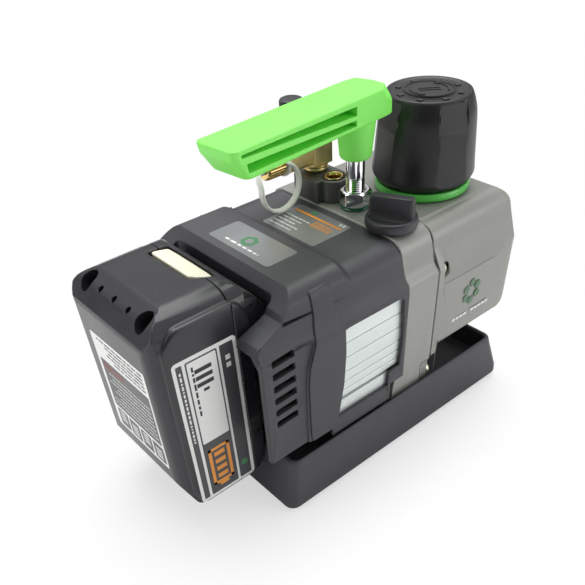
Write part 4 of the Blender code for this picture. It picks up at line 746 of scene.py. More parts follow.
# ------------------------------------------------------------- filter stack
ring = lathe("filter_ring_green", [(25.0, 124.7), (26.0, 125.1), (26.2, 125.8), (26.2, 127.4), (26.0, 128.1), (25.4, 128.7), (24.2, 128.7), (22.8, 127.6), (19.4, 127.6), (19.4, 124.7)][::-1],
             'Z', (56.5, -11.2), 96)
place(ring, "pump", RINGG, "green_plastic", ("filter_ring",), width=0, sharp=35)
FX, FY = 56.5, -11.2
cap_prof = [(0, 171.9), (12.6, 171.9), (12.9, 172.5), (13.2, 172.5), (13.5, 171.7), (19.6, 171.7), (20.6, 172.3), (21.3, 172.5), (22.0, 172.1), (22.6, 171.0),
            (23.6, 168.8), (24.7, 165.4), (25.2, 163.2), (25.6, 160.5), (26.5, 150.0), (27.2, 141.0), (27.9, 134.4), (27.8, 133.4), (27.2, 132.0), (25.6, 130.1), (24.8, 129.2),
            (19.7, 129.1), (19.7, 150.0), (17.5, 154.0), (17.5, 167.5), (0, 167.5)]
cap = lathe("filter_cap_shell", cap_prof, 'Z', (FX, FY), 120)
cuts = []
for i in range(4):
    a = math.radians(-105 + 90 * i)
    ca, sa = math.cos(a), math.sin(a)

    def wp(u, v, z):
        return P(FX + u * ca - v * sa, FY + u * sa + v * ca, z)
    # a finger flat: upright low down, its top leaning in to a sloping facet
    rings = []
    for z, u, hw in ((122, 26.6, 9.4), (132, 26.5, 9.2), (152, 25.1, 8.9), (157.0, 24.7, 8.8), (158.4, 24.3, 8.7), (165, 22.7, 8.3), (171.0, 21.2, 8.0)):
        rings.append([wp(u, -hw, z), wp(u, hw, z), wp(44, hw + 1.2, z), wp(44, -hw - 1.2, z)])
    cuts.append(loft("c", rings))
cut(cap, *cuts)
# raised round badge with two turning arrows, and tick marks round it
badge = lathe("c", [(0, 172.35), (12.2, 172.35), (12.9, 172.0), (12.9, 171.0), (0, 171.0)], 'Z', (FX, FY), 72)
add(cap, badge)
place(cap, "filter_cap", CAPM, "black_plastic", ("filter_cap",), width=0.7, seg=3, angle=24, clamp=False)


def arc_band(r0, r1, a0, a1, n=18):
    return arc(FX, FY, r1, a0, a1, n) + arc(FX, FY, r0, a1, a0, n)


marks = []
for a0 in (-65.0, 115.0):
    marks.append(arc_band(9.4, 10.5, a0, a0 + 78))
    e = math.radians(a0 + 78)
    t = math.radians(a0 + 94)
    marks.append([(FX + 8.3 * math.cos(e), FY + 8.3 * math.sin(e)), (FX + 11.6 * math.cos(e), FY + 11.6 * math.sin(e)), (FX + 9.9 * math.cos(t), FY + 9.9 * math.sin(t))])
dec("filter_cap_arrows", marks, 'Z', 172.25, 172.75, DEEP, "filter_cap")
grooves = []
for k in (-4.4, -1.5, 1.5, 4.4):
    w = 5.6 if abs(k) < 2 else 4.0
    u = (math.cos(math.radians(-40)), math.sin(math.radians(-40)))
    n_ = (-u[1], u[0])
    grooves.append([(FX + n_[0] * k + u[0] * q - n_[0] * 0.5 * r_, FY + n_[1] * k + u[1] * q - n_[1] * 0.5 * r_) for q, r_ in ((-w, -1), (w, -1), (w, 1), (-w, 1))])
dec("filter_cap_wavy_lines", grooves[1:3], 'Z', 172.25, 172.6, DEEP, "filter_cap")
ticks = []
for i in range(8):
    a = math.radians(45 * i - 20)
    ca, sa = math.cos(a), math.sin(a)
    ticks.append([(FX + u * ca - v * sa, FY + u * sa + v * ca) for u, v in ((15.0, -1.5), (17.8, -1.5), (17.8, 1.5), (15.0, 1.5))])
dec("filter_cap_ticks", ticks, 'Z', 171.6, 172.15, CAPM, "filter_cap")
fe = lathe("filter_felt_element", [(8.5, 127.4), (8.9, 127.0), (15.4, 127.0), (15.8, 127.4), (15.8, 165.1), (15.4, 165.5), (8.9, 165.5), (8.5, 165.1)][::-1], 'Z', (FX, FY), 56)
place(fe, "filter_insert", FELT, "filter_felt", ("filter_element",), width=0, sharp=40)

# ------------------------------------------------------------- ballast knob
KX, KY = 7.6, -34.2
knob = lathe("ballast_knob_disc", [(0, 128.9), (10.6, 128.9), (11.0, 129.2), (11.4, 130.1), (12.2, 130.6), (13.0, 130.2), (13.5, 129.2), (13.5, 126.4), (13.2, 125.6), (12.7, 125.1), (12.2, 124.8), (4.7, 124.8), (4.7, 110), (0, 110)],
             'Z', (KX, KY), 72)
wa = math.radians(-64)
wc, ws = math.cos(wa), math.sin(wa)


def kp(u, v, z):
    return P(KX + u * wc - v * ws, KY + u * ws + v * wc, z)


def wing_ring(hl, hw, z, r=1.6):
    return [kp(u, v, z) for u, v in rounded(hl, hw, min(r, hw * 0.9), 5)]


wing = loft("c", [wing_ring(12.1, 4.4, 128.6, 2.2), wing_ring(12.0, 3.7, 129.6, 2.0), wing_ring(11.9, 3.2, 131.0, 1.9), wing_ring(11.8, 2.9, 133.0, 1.8),
                  wing_ring(11.4, 2.9, 138.4, 1.8), wing_ring(11.2, 2.7, 139.5, 1.7), wing_ring(10.8, 2.3, 140.0, 1.5)])
add(knob, wing)
place(knob, "ballast_knob", BLACK, "black_plastic", ("ballast_knob",), width=0.35, seg=3, angle=30)

# ------------------------------------------------------------------- handle
HX, HY = 11.0, -4.5
ga = math.radians(6.1)
gc, gs = math.cos(ga), math.sin(ga)


def gp(u, v, z):
    return P(HX + u * gc - v * gs, HY + u * gs + v * gc, z)


def grip_outline(e, left, t):
    """t runs from 0 (square front corner, low down) to 1 (cut-off corner, on top)."""
    f = lambda a, b: a + (b - a) * t
    pts = [(left, -11.9 + e), (f(10.0, 6.0), -11.7 + e), (f(15.4, 13.4) - e, f(-10.6, -6.6)), (f(15.6, 14.4) - e, 1.0),
           (f(14.2, 12.6) - e, f(11.2, 10.8) - e * 0.5), (f(10.0, 5.0), f(11.9, 12.5) - e), (left, f(11.9, 12.5) - e)]
    return fillet(pts, [3.2, 1.4, 1.6, 6.0, 2.0, 2.0, 3.2], 4)


grip = loft("handle_grip_body", [
    [gp(u, v, 168.5) for u, v in grip_outline(1.1, -83.9, 0.0)],
    [gp(u, v, 168.75) for u, v in grip_outline(0.5, -84.4, 0.0)],
    [gp(u, v, 169.5) for u, v in grip_outline(0.1, -84.9, 0.0)],
    [gp(u, v, 175.0) for u, v in grip_outline(0.0, -88.8, 0.08)],
    [gp(u, v, 176.4) for u, v in grip_outline(0.0, -89.8, 0.25)],
    [gp(u, v, 177.6) for u, v in grip_outline(0.0, -90.4, 0.45)],
    [gp(u, v, 180.4) for u, v in grip_outline(0.0, -90.9, 0.9)],
    [gp(u, v, 181.05) for u, v in grip_outline(0.1, -90.9, 0.96)],
    [gp(u, v, 181.38) for u, v in grip_outline(0.3, -90.7, 1.0)],
    [gp(u, v, 181.5) for u, v in grip_outline(0.65, -90.4, 1.0)]])
add(grip, lathe("c", [(0, 172), (10.1, 172), (9.95, 168.5), (9.7, 165), (8.3, 151.6), (7.9, 150.5), (7.2, 150.0), (0, 150.0)], 'Z', (HX, HY), 56))
for s in (-1, 1):
    slot_cuts = []
    for quad in ([(-86.5, 178.2), (-13.5, 174.9), (-13.5, 178.9), (-86.5, 179.5)], [(-83.0, 171.4), (-13.5, 170.4), (-13.5, 172.9), (-84.0, 175.3)]):
        q = fillet(quad, 0.5, 2)
        slot_cuts.append(loft("c", [[gp(u, s * 2.2, z) for u, z in q], [gp(u, s * 16, z) for u, z in q]]))
    cut(grip, *slot_cuts)
cut(grip, lathe("c", rod(5.2, 140, 170.0), 'Z', (HX, HY), 32))
place(grip, "pump", GREEN, "green_plastic", ("handle_grip",), width=0.3, seg=2, angle=50, sharp=50)

thread = [(4.9, 168.4), (4.5, 169.0), (0, 169.0)][::-1]
prof = [(0, 169.0), (4.4, 169.0), (4.9, 168.4), (4.9, 140.6), (4.5, 140.2), (4.5, 139.6)]
z = 139.2
while z > 118.0:
    prof += [(5.0, z), (4.35, z - 0.55)]
    z -= 1.1
prof += [(4.3, 105.6), (0, 105.0)]
post = lathe("handle_post_rod", prof, 'Z', (HX, HY), 64)
place(post, "pump", CHROME, "chrome", ("handle_post",), width=0, sharp=25)
wsh = lathe("post_seal_ring", [(5.3, 124.7), (7.3, 124.7), (7.8, 124.9), (7.9, 125.3), (7.7, 125.8), (7.2, 126.0), (5.3, 126.0)][::-1], 'Z', (HX, HY), 64)
place(wsh, "pump", SEALG, "chrome", ("post_washer",), width=0, sharp=40)
nutp = [(HX + 15.6 / math.sqrt(3) * math.cos(math.radians(60 * i + 12)), HY + 15.6 / math.sqrt(3) * math.sin(math.radians(60 * i + 12))) for i in range(6)]
nut = prism("post_hex_nut", nutp, 'Z', 126.3, 134.0)
keep(nut, lathe("c", [(0, 134.4), (6.6, 134.4), (7.5, 134.0), (9.3, 132.9), (9.3, 127.4), (7.5, 126.3), (6.6, 125.9), (0, 125.9)], 'Z', (HX, HY), 72))
cut(nut, lathe("c", [(0, 140), (6.2, 140), (6.2, 134.1), (5.25, 133.1), (5.25, 127.2), (6.0, 126.2), (6.0, 120), (0, 120)], 'Z', (HX, HY), 48))
place(nut, "pump", CHROME, "chrome", ("post_nut",), width=0.25, seg=2, angle=30)

# ------------------------------------------------------------ intake fittings
TX, TY = 10.4, 25.7
blk = prism("intake_block_body", fillet([(-1.6, 11.4), (19.2, 11.4), (19.4, 29.0), (15.4, 33.4), (2.4, 33.4), (-1.6, 30.4)], [1.3, 1.5, 1.3, 1.3, 1.3, 1.3], 5), 'Z', 124.7, 136.0)
add(blk, lathe("c", rod(8.1, 124.7, 136.0), 'Z', (10.5, 11.5), 60))
cut(blk, lathe("c", [(0, 140), (6.1, 140), (6.1, 135.9), (5.7, 135.5), (5.7, 128.0), (0, 128.0)], 'Z', (10.5, 11.5), 40),
    lathe("c", rod(5.3, 127.7, 140), 'Z', (TX, TY), 32))
cut(blk, lathe("c", rod(3.0, 120, 130), 'Z', (TX, TY), 24))
# painted shade: the intake block is the same grey casting as the flange, painted darker to stand for its shaded sides
place(blk, "pump", CAST_DARK_AND_SHADE, "dark_cast", ("intake_block",), width=0.6, seg=3, angle=26)
ins = lathe("port_insert_bush", [(5.4, 135.7), (5.4, 128.4), (3.4, 128.4), (3.4, 135.2), (3.7, 135.8), (4.3, 136.4), (5.0, 136.5), (5.3, 136.2)], 'Z', (10.5, 11.5), 56)
place(ins, "pump", BRASS, "brass", ("port_insert",), width=0, sharp=35)

tee = lathe("intake_tee_body", [(0, 142), (6.0, 142), (6.0, 139.9), (6.9, 139.5), (7.0, 139.0), (6.6, 138.6), (6.6, 138.2), (7.0, 137.8), (6.9, 137.2), (6.3, 136.7), (6.3, 136.3), (4.9, 136.3), (4.9, 128.0), (0, 128.0)],
            'Z', (TX, TY), 56)
add(tee, prism("c", rounded(6.8, 6.8, 1.0, 4, TX, TY), 'Z', 140.0, 154.4),
    prism("c", [(y, z_) for y, z_ in rounded(5.6, 5.6, 1.2, 4, TY, 147.0)], 'X', -12.0, TX))
add(tee, lathe("c", [(0, 169.4), (4.2, 169.4), (4.9, 168.6), (4.9, 156), (5.6, 154.6), (5.6, 150), (0, 150)], 'Z', (-4.5, TY), 40),
    lathe("c", [(0, -8), (5.6, -8), (5.6, -12.2), (4.9, -13.0), (4.9, -20.2), (4.1, -21.2), (0, -21.2)], 'X', (TY, 147.0), 40))
cut(tee, lathe("c", rod(2.4, -30, TX), 'X', (TY, 147.0), 20))
cut(tee, lathe("c", rod(2.25, 146.1, 180), 'Z', (-4.5, TY), 22))
cut(tee, lathe("c", rod(2.1, 120, 146.3), 'Z', (TX, TY), 24))
place(tee, "pump", BRASSD, "brass", ("intake_tee",), width=0.35, seg=2, angle=32)

scs = lathe("side_cap_gasket", rod(4.6, -23.1, -21.6, 0.2), 'X', (TY, 147.0), 32)
place(scs, "side_cap_seal", RUBBER, "black_rubber", ("side_cap_seal",), width=0, sharp=40)


def knurl(name, prof, axis, centre, seg, depth, lo, hi):
    """Lathe whose outer wall between heights lo and hi is fluted."""
    ob = lathe(name, prof, axis, centre, seg)
    c = P(0, centre[0], centre[1]) if axis == 'X' else P(centre[0], centre[1], 0)
    rmax = max(r for r, h in prof) * MM
    for i, v in enumerate(ob.data.vertices):
        d = (v.co - c)
        if axis == 'X':
            h, rad = v.co.x / MM - AX, Vector((0, d.y, d.z))
        else:
            h, rad = v.co.z / MM, Vector((d.x, d.y, 0))
        if lo <= h <= hi and rad.length > rmax * 0.93:
            t = math.atan2(rad.z, rad.y) if axis == 'X' else math.atan2(rad.y, rad.x)
            if int(round(t / (2 * math.pi) * seg)) % 2 == 0:
                v.co -= rad.normalized() * (depth * MM)
    return ob


sc = knurl("side_cap_cup", [(0, -23.5), (5.3, -23.5), (5.3, -14.6), (6.1, -14.6), (6.6, -15.2), (6.6, -17.0), (6.6, -24.6), (6.3, -25.6), (5.6, -26.4), (0, -26.4)], 'X', (TY, 147.0), 64, 0.35, -24.7, -16.9)
place(sc, "side_cap", BRASS, "brass", ("side_cap",), width=0, sharp=28)
tcs = lathe("top_cap_gasket", rod(4.6, 169.8, 171.3, 0.2), 'Z', (-4.5, TY), 32)
place(tcs, "top_cap_seal", RUBBER, "black_rubber", ("top_cap_seal",), width=0, sharp=40)
tc = knurl("top_cap_cup", [(0, 174.8), (5.0, 174.8), (5.8, 174.4), (6.2, 173.6), (6.2, 158.2), (6.0, 157.0), (5.3, 157.0), (5.3, 171.7), (0, 171.7)], 'Z', (-4.5, TY), 72, 0.35, 158.1, 173.7)
place(tc, "top_cap", BLACK, "black_plastic", ("top_cap",), width=0, sharp=28)

# white strap: a flat band that hangs in a loop from a ring round the side port to the cap's end
LC, LR = (-20.3, 137.5), 12.2


def strap_points():
    pts = []
    for i in range(49):
        a = math.radians(66 - 254 * i / 48)
        pts.append((Vector((LC[0] + LR * math.cos(a), 18.0 + 0.03 * i, LC[1] + LR * math.sin(a))), Vector((math.cos(a), 0, math.sin(a)))))
    tail = [(-32.2, 19.9, 140.8), (-32.4, 20.9, 143.0), (-31.6, 22.2, 145.0), (-30.2, 23.8, 146.4), (-28.8, 25.2, 147.0)]
    for q in tail:
        pts.append((Vector(q), Vector((-1, 0, 0.2)).normalized()))
    head = [(-13.2, 24.6, 153.4), (-13.4, 22.4, 152.6), (-13.9, 20.2, 151.0), (-14.8, 18.6, 149.4)]
    return [(Vector(q), Vector((0.5, -0.4, 0.75)).normalized()) for q in head] + pts


sp = strap_points()
rings = []
for i, (c, nrm) in enumerate(sp):
    t = (sp[min(i + 1, len(sp) - 1)][0] - sp[max(i - 1, 0)][0]).normalized()
    n_ = (nrm - t * nrm.dot(t)).normalized()
    b_ = t.cross(n_)
    wide = 1.9
    prof2 = rounded(wide, 0.75, 0.55, 3)
    rings.append([P(*(c + b_ * u + n_ * v)) for u, v in prof2])
bmt = bmesh.new()
loft("", rings, bm=bmt)
lathe("", [(5.4, -14.1), (7.2, -14.1), (7.6, -13.8), (7.6, -12.6), (7.2, -12.3), (5.4, -12.3)][::-1], 'X', (TY, 147.0), 48, bm=bmt)
lathe("", rod(3.6, -28.5, -26.8, 0.3), 'X', (TY, 147.0), 36, bm=bmt)
strap = new_object("cap_strap", bmt)
place(strap, "side_cap_seal", STRAP, "white_plastic", ("cap_tether",), width=0, sharp=40)

# ------------------------------------------------------------------ battery
B_HALF = [(0, 132.0), (23.0, 132.0)] + [(23.0 + 12.9 * math.sin(math.radians(a)), 120.4 + 11.6 * math.cos(math.radians(a))) for a in (12, 24, 36, 48, 60, 72, 84)] + \
    [(35.95, 118.0), (35.95, 19.5), (0, 19.5)]
B_SIDE = fillet([(-139.7, 38.6), (-131.6, 19.5), (-84, 19.5), (-84, 132.0), (-124.0, 132.0), (-133.2, 128.6), (-139.7, 119.5)], [9.0, 5.5, 0, 0, 10, 9.0, 5.0], 6)


def bat_plan(e=0.0, r=8.0, hw=35.95):
    x0 = -139.7 + e
    h = hw - e
    return arc(x0 + r, h - r, r, 90, 180, 8) + arc(x0 + r, -h + r, r, 180, 270, 8) + [(-60.0, -h), (-60.0, h)]


SEAM_R, SEAM_F = -96.2, -95.9
rear = prism("battery_rear_shell", mirror_y(B_HALF), 'X', -141, SEAM_R)
keep(rear, prism("c", B_SIDE, 'Y', -60, 60))
keep(rear, prism("c", bat_plan(), 'Z', 0, 150))
# side panels stand 1.5 mm proud, with a rounded border
PANEL = fillet([(-134.2, 19.5), (-134.2, 127.0), (-60, 127.6), (-60, 19.5)], [4.0, 8.5, 0, 0], 8)
PANEL_SIDE = fillet([(-134.2, 30.5), (-129.6, 19.7), (-60, 19.7), (-60, 127.4), (-126.0, 127.0), (-134.2, 119.4)], [6.0, 4.0, 0, 0, 8.0, 8.0], 8)


def side_panel(s, x0, x1):
    def ring(off, y):
        return [P(a, s * y, b) for a, b in fillet([(-134.2 + off, 30.5 + off * 0.3), (-129.6 + off * 0.8, 19.7 + off), (-60, 19.7 + off), (-60, 127.2 - off),
                                                  (-126.4 + off * 0.6, 126.8 - off), (-134.2 + off, 119.4 - off * 0.4)], [6.0, 4.0, 0, 0, 8.0, 8.0], 8)]
    ob = loft("c", [ring(0, 30.0), ring(0, 35.9), ring(0.15, 36.5), ring(0.55, 37.0), ring(1.2, 37.3), ring(2.2, 37.4)])
    return keep(ob, box("c", (x0, x1), (-50, 50), (0, 150)))


add(rear, side_panel(-1, -150, SEAM_R), side_panel(1, -150, SEAM_R))
shell_in = prism("c", fillet([(-137.0, 39.5), (-130.4, 22.2), (-80, 22.2), (-80, 117.6), (-136.2, 117.6)], 2.0, 3), 'Y', -33.6, 33.6)
keep(shell_in, prism("c", bat_plan(2.6, 6.0), 'Z', 0, 150))
BTN = [(-101.0, 18.4), (-100.8, -12.6), (-98.6, -15.4), (-91.6, -18.4), (-90.8, -14.0), (-90.4, 0.0), (-90.8, 14.0), (-91.6, 18.4)]
BTN_HOLE = fillet([(-102.6, 19.6), (-102.4, -13.4), (-99.2, -17.0), (-90.9, -19.9), (-89.9, -14.0), (-89.5, 0.0), (-89.9, 14.0), (-90.9, 19.9)], [1.5, 2, 2, 1, 6, 6, 6, 1], 4)
cut(rear, shell_in, prism("c", BTN_HOLE, 'Z', 120.4, 140))
tilt = Matrix.Rotation(math.radians(-35), 4, 'Y')
bmr = bmesh.new()
for yy, ru, rv, dep in ((24, 6.2, 4.4, 7.0), (-24, 6.2, 4.4, 7.0), (12, 1.9, 1.4, 4.5), (0, 1.9, 1.4, 4.5), (-12, 1.9, 1.4, 4.5)):
    c0 = P(-132.2, yy, 128.8)
    n = 28 if ru > 3 else 16
    lo_r, hi_r = [], []
    for i in range(n):
        a = 2 * math.pi * i / n
        v = Vector((ru * MM * math.cos(a), rv * MM * math.sin(a), 0))
        lo_r.append(c0 + tilt @ (v * 0.9 + Vector((0, 0, -dep * MM))))
        hi_r.append(c0 + tilt @ (v + Vector((0, 0, 8 * MM))))
    loft("", [lo_r, hi_r], bm=bmr)
cut(rear, new_object("c", bmr))
bmn = bmesh.new()
for yy, zz in ((35.0, 98.0), (35.0, 52.0), (-35.0, 98.0), (-35.0, 50.0)):
    box("", (-141.0, -137.6), sorted((yy, yy + (3.5 if yy > 0 else -3.5))), (zz - 1.3, zz + 1.3), bm=bmn)
cut(rear, new_object("c", bmn))
place(rear, "battery", SATIN, "black_plastic", ("battery_rear_case",), width=0.4, seg=2, angle=36, sharp=50)

NOSE = fillet([(SEAM_F, 19.6), (-92.6, 21.4), (-90.2, 24.8), (-88.8, 29.0), (-88.4, 33.0), (-88.0, 95.0), (-77.4, 102.4), (-75.4, 105.2), (-75.1, 110.0), (-76.6, 115.5),
               (-80.2, 122.0), (-85.0, 127.4), (-89.0, 130.4), (-92.0, 131.6), (SEAM_F, 132.0)], [0, 2, 2, 2, 2, 3, 2, 3, 6, 8, 8, 8, 6, 4, 0], 3)
front = prism("battery_front_shell", NOSE, 'Y', -60, 60)
keep(front, prism("c", mirror_y(B_HALF), 'X', -120, -60))
keep(front, prism("c", fillet([(-120, -35.95), (-75.0, -35.95), (-75.0, 35.95), (-120, 35.95)], [0, 6, 6, 0], 6), 'Z', 0, 150))


def front_panel(s):
    def ring(off, y):
        return [P(a, s * y, b) for a, b in fillet([(-100, 20.2 + off), (-92.6, 21.0 + off), (-87.8 - off, 28.0), (-86.9 - off, 40.0), (-87.2 - off, 117.0), (-92.0 - off * 0.6, 125.0 - off * 0.5), (-100, 127.2 - off)],
                                                  [0, 3, 5, 4, 7, 6, 0], 6)]
    ob = loft("c", [ring(0, 32.6), ring(0, 35.9), ring(0.15, 36.5), ring(0.55, 37.0), ring(1.2, 37.3), ring(2.2, 37.4)])
    return keep(ob, box("c", (SEAM_F, -60), (-50, 50), (0, 150)))


add(front, front_panel(-1), front_panel(1))
add(front, box("c", (-90.0, -84.2), (-18.0, 18.0), (46.0, 93.8)), box("c", (-84.3, -81.0), (-22.0, 22.0), (46.0, 93.8)))
cut(front, prism("c", [(-110, 22.2), (-95.0, 22.2), (-92.6, 25.6), (-91.0, 31.0), (-90.6, 36.0), (-90.6, 117.6), (-110, 117.6)], 'Y', -33.6, 33.6),
    prism("c", BTN_HOLE, 'Z', 120.4, 140))
cut(front, box("c", (-84.6, -80), (-11.1, -8.9), (40, 76)), box("c", (-84.6, -80), (8.9, 11.1), (40, 76)))
place(front, "battery", SATIN, "black_plastic", ("battery_front_case",), width=0.7, seg=3, angle=22)

btn = prism("release_button_cap", fillet(BTN, [1.2, 2, 2, 1, 4, 4, 4, 1], 4), 'Z', 123.9, 133.0)
keep(btn, prism("c", fillet([(-104.0, 120.0), (-88.0, 120.0), (-88.0, 127.6), (-92.0, 130.6), (-99.5, 132.1), (-104.0, 131.6)], [0, 0, 2, 6, 4, 0], 5), 'Y', -30, 30))
place(btn, "release_button", CREAM, "cream_plastic", ("release_button",), width=0.5, seg=3, angle=28)

# back label
XB = -139.7
lo_, hi_ = XB - 0.14, XB + 0.06


def yz(y0, y1, z0, z1, r=0.0):
    return rect(y0, y1, z0, z1, r)


dec("battery_back_label", [yz(-27.6, 21.6, 46.4, 106.6, 1.2)], 'X', lo_, hi_, WHITEP, "battery")
dec("battery_back_block", [yz(-26.0, 18.6, 61.4, 92.0, 0.6)], 'X', lo_ - 0.05, hi_, GREYP, "battery")
dec("battery_back_rules", [yz(-26.0 + 11.4 * k, -16.2 + 11.4 * k, 48.2, 59.6, 0.6) for k in range(4)], 'X', lo_ - 0.05, hi_, GREYP, "battery")
dec("battery_back_print_head", lines(-25.0, 20.0, 93.6, 105.4, 5, 1.0, 0.6, 5, 'a'), 'X', lo_ - 0.05, hi_, DARKP, "battery")
dec("battery_back_print_red", [yz(-2.0, 17.0, 87.2, 90.0)], 'X', lo_ - 0.1, hi_, REDP, "battery")
dec("battery_back_print_body", lines(-24.4, 17.0, 63.2, 85.6, 8, 0.55, 0.75, 6, 'a'), 'X', lo_ - 0.1, hi_, WHITEP, "battery")
icons = []
for k in range(4):
    cy = -21.1 + 11.4 * k
    icons += [yz(cy - 2.8, cy + 2.8, 50.0 + 1.9 * j, 50.9 + 1.9 * j) for j in range(k % 2, 4 + k % 2)]
dec("battery_back_icons", icons, 'X', lo_ - 0.1, hi_, WHITEP, "battery")

# side labels: white border, dark field, white block, orange charge-gauge sign
for s, tag in ((-1, "near"), (1, "far")):
    def yy(a, b):
        return sorted((s * a, s * b))
    y0_, y1_ = yy(37.35, 37.52)
    y2_, y3_ = yy(37.35, 37.57)
    y4_, y5_ = yy(37.35, 37.62)
    y6_, y7_ = yy(37.35, 37.67)
    dec("battery_side_label_" + tag, [rect(-131.0, -96.4, 21.4, 111.6, 2.2)], 'Y', y0_, y1_, WHITEP, "battery")
    dec("battery_side_field_" + tag, [rect(-129.2, -126.0, 23.2, 109.6, 0.5), rect(-124.4, -107.2, 23.2, 109.6, 0.9), rect(-105.8, -98.4, 23.2, 109.6, 0.5)], 'Y', y2_, y3_, DARKP, "battery")
    dec("battery_side_block_" + tag, [rect(-123.6, -108.0, 59.6, 108.8, 0.7)], 'Y', y4_, y5_, WHITEP, "battery")
    # upright gauge made of bars, and small dashes instead of words
    dec("battery_side_signs_" + tag, [rect(-120.4, -111.2, 97.6, 99.8), rect(-120.4, -111.2, 101.6, 103.8), rect(-120.4, -111.2, 93.6, 95.8), rect(-117.4, -114.2, 90.2, 91.8)] +
        lines(-122.0, -120.6, 76, 106, 1, 1.1, 0.9, 7, 'b'), 'Y', y6_, y7_, BLACKP, "battery")
    # charge gauge: a battery outline with bars, in orange
    og = [rect(-122.2, -109.4, 52.4, 54.2), rect(-122.2, -109.4, 28.8, 30.6), rect(-122.2, -120.4, 28.8, 54.2), rect(-111.2, -109.4, 28.8, 54.2), rect(-118.6, -113.0, 26.6, 28.8)]
    og += [rect(-118.9, -112.7, 48.0 - 5.2 * k, 50.8 - 5.2 * k) for k in range(4)]
    dec("battery_side_gauge_" + tag, og, 'Y', y4_, y5_, ORANGEP, "battery")
    dec("battery_side_dashes_" + tag, lines(-128.2, -127.0, 62, 106, 1, 0.9, 0.95, 14, 'b') + [rect(-103.4, -100.8, 96.4, 99.0), rect(-103.4, -100.8, 100.6, 103.2)], 'Y', y4_, y5_, WHITEP, "battery")
    dec("battery_side_green_" + tag, [[(-102.0 + 2.2 * math.cos(math.radians(60 * i)), 33.0 + 2.2 * math.sin(math.radians(60 * i))) for i in range(6)]], 'Y', y4_, y5_, GREENP, "battery")

# --------------------------------------------- carried-over CAD nodes: finishes
FINISH = {
    "base_screw_near": ZINC, "base_screw_far": ZINC, "front_bearing": STEEL, "rear_bearing": STEEL, "shaft_seal": RUBBER,
    "motor_housing": FIN, "rear_end_bell": RAWCAST, "stator_core": IRON, "stator_windings": COPPER, "motor_shaft": STEEL,
    "rotor_magnets": STEEL, "cooling_fan": BLACK, "control_board": PCB, "battery_dock": BLACK, "dock_blade_neg": BRASS,
    "dock_blade_pos": BRASS, "pump_cylinder": RAWCAST, "pump_end_plate": RAWCAST, "pump_rotor": STEEL, "vane_near": IRON,
    "vane_far": IRON, "cell_pack": CELL}
for n, mat in FINISH.items():
    o = NODES[n]
    if not o.material_slots:
        o.data.materials.append(mat)
    for sl_ in o.material_slots:
        sl_.link = 'OBJECT'
        sl_.material = mat

# the finned housing keeps its own shape; its edges are broken slightly
bmf = bmesh.new()
bmf.from_mesh(NODES["motor_housing"].data)
bmf.transform(NODES["motor_housing"].matrix_world)
bmesh.ops.remove_doubles(bmf, verts=bmf.verts, dist=0.002 * MM)
bmesh.ops.dissolve_limit(bmf, angle_limit=math.radians(0.5), verts=bmf.verts, edges=bmf.edges)
for e_ in bmf.edges:
    e_.smooth = True
fins = new_object("finned_housing", bmf)
if "custom_normal" in fins.data.attributes:
    fins.data.attributes.remove(fins.data.attributes["custom_normal"])
place(fins, "pump", FIN, "bare_aluminium", ("motor_housing",), width=0.22, seg=2, angle=32, sharp=40, clean=False, clamp=True)

# ============================================================ stage and light
fl = bmesh.new()
bmesh.ops.create_grid(fl, x_segments=2, y_segments=2, size=4.0)
floor = new_object("studio_floor", fl)
floor.location = (0, 0, 0.0)
fm, fnt, fb = base_material("paper_white")
fb.inputs["Base Color"].default_value = (0.93, 0.93, 0.93, 1)
fb.inputs["Roughness"].default_value = 0.85
fb.inputs["Specular IOR Level"].default_value = 0.1
fco = fnt.nodes.new("ShaderNodeTexCoord")
fn = noise(fnt, fco, 3.0)
fr = ramp(fnt, fn.outputs["Fac"], (0.92, 0.92, 0.92), (0.94, 0.94, 0.94))
fnt.links.new(fr.outputs["Color"], fb.inputs["Base Color"])
# away from the machine the sweep is lit evenly: to the camera it blends into plain white
fsx = fnt.nodes.new("ShaderNodeSeparateXYZ")
fnt.links.new(fco.outputs["Object"], fsx.inputs["Vector"])
fcx = fnt.nodes.new("ShaderNodeCombineXYZ")
fnt.links.new(fsx.outputs["X"], fcx.inputs["X"])
fnt.links.new(fsx.outputs["Y"], fcx.inputs["Y"])
fln = fnt.nodes.new("ShaderNodeVectorMath")
fln.operation = 'LENGTH'
fnt.links.new(fcx.outputs["Vector"], fln.inputs[0])
fmr = fnt.nodes.new("ShaderNodeMapRange")
fmr.interpolation_type = 'SMOOTHSTEP'
fmr.inputs["From Min"].default_value = 0.10
fmr.inputs["From Max"].default_value = 0.26
fmr.inputs["To Min"].default_value = 0.58
fmr.inputs["To Max"].default_value = 1.0
fnt.links.new(fln.outputs["Value"], fmr.inputs["Value"])
flp = fnt.nodes.new("ShaderNodeLightPath")
fmm = fnt.nodes.new("ShaderNodeMath")
fmm.operation = 'MULTIPLY'
fnt.links.new(flp.outputs["Is Camera Ray"], fmm.inputs[0])
fnt.links.new(fmr.outputs["Result"], fmm.inputs[1])
fem = fnt.nodes.new("ShaderNodeEmission")
fem.inputs["Color"].default_value = (1.0, 1.0, 1.0, 1)
fem.inputs["Strength"].default_value = 1.0
fmx = fnt.nodes.new("ShaderNodeMixShader")
fnt.links.new(fmm.outputs["Value"], fmx.inputs["Fac"])
fnt.links.new(fb.outputs["BSDF"], fmx.inputs[1])
fnt.links.new(fem.outputs["Emission"], fmx.inputs[2])
fnt.links.new(fmx.outputs["Shader"], fnt.nodes["Material Output"].inputs["Surface"])
floor.data.materials.append(fm)

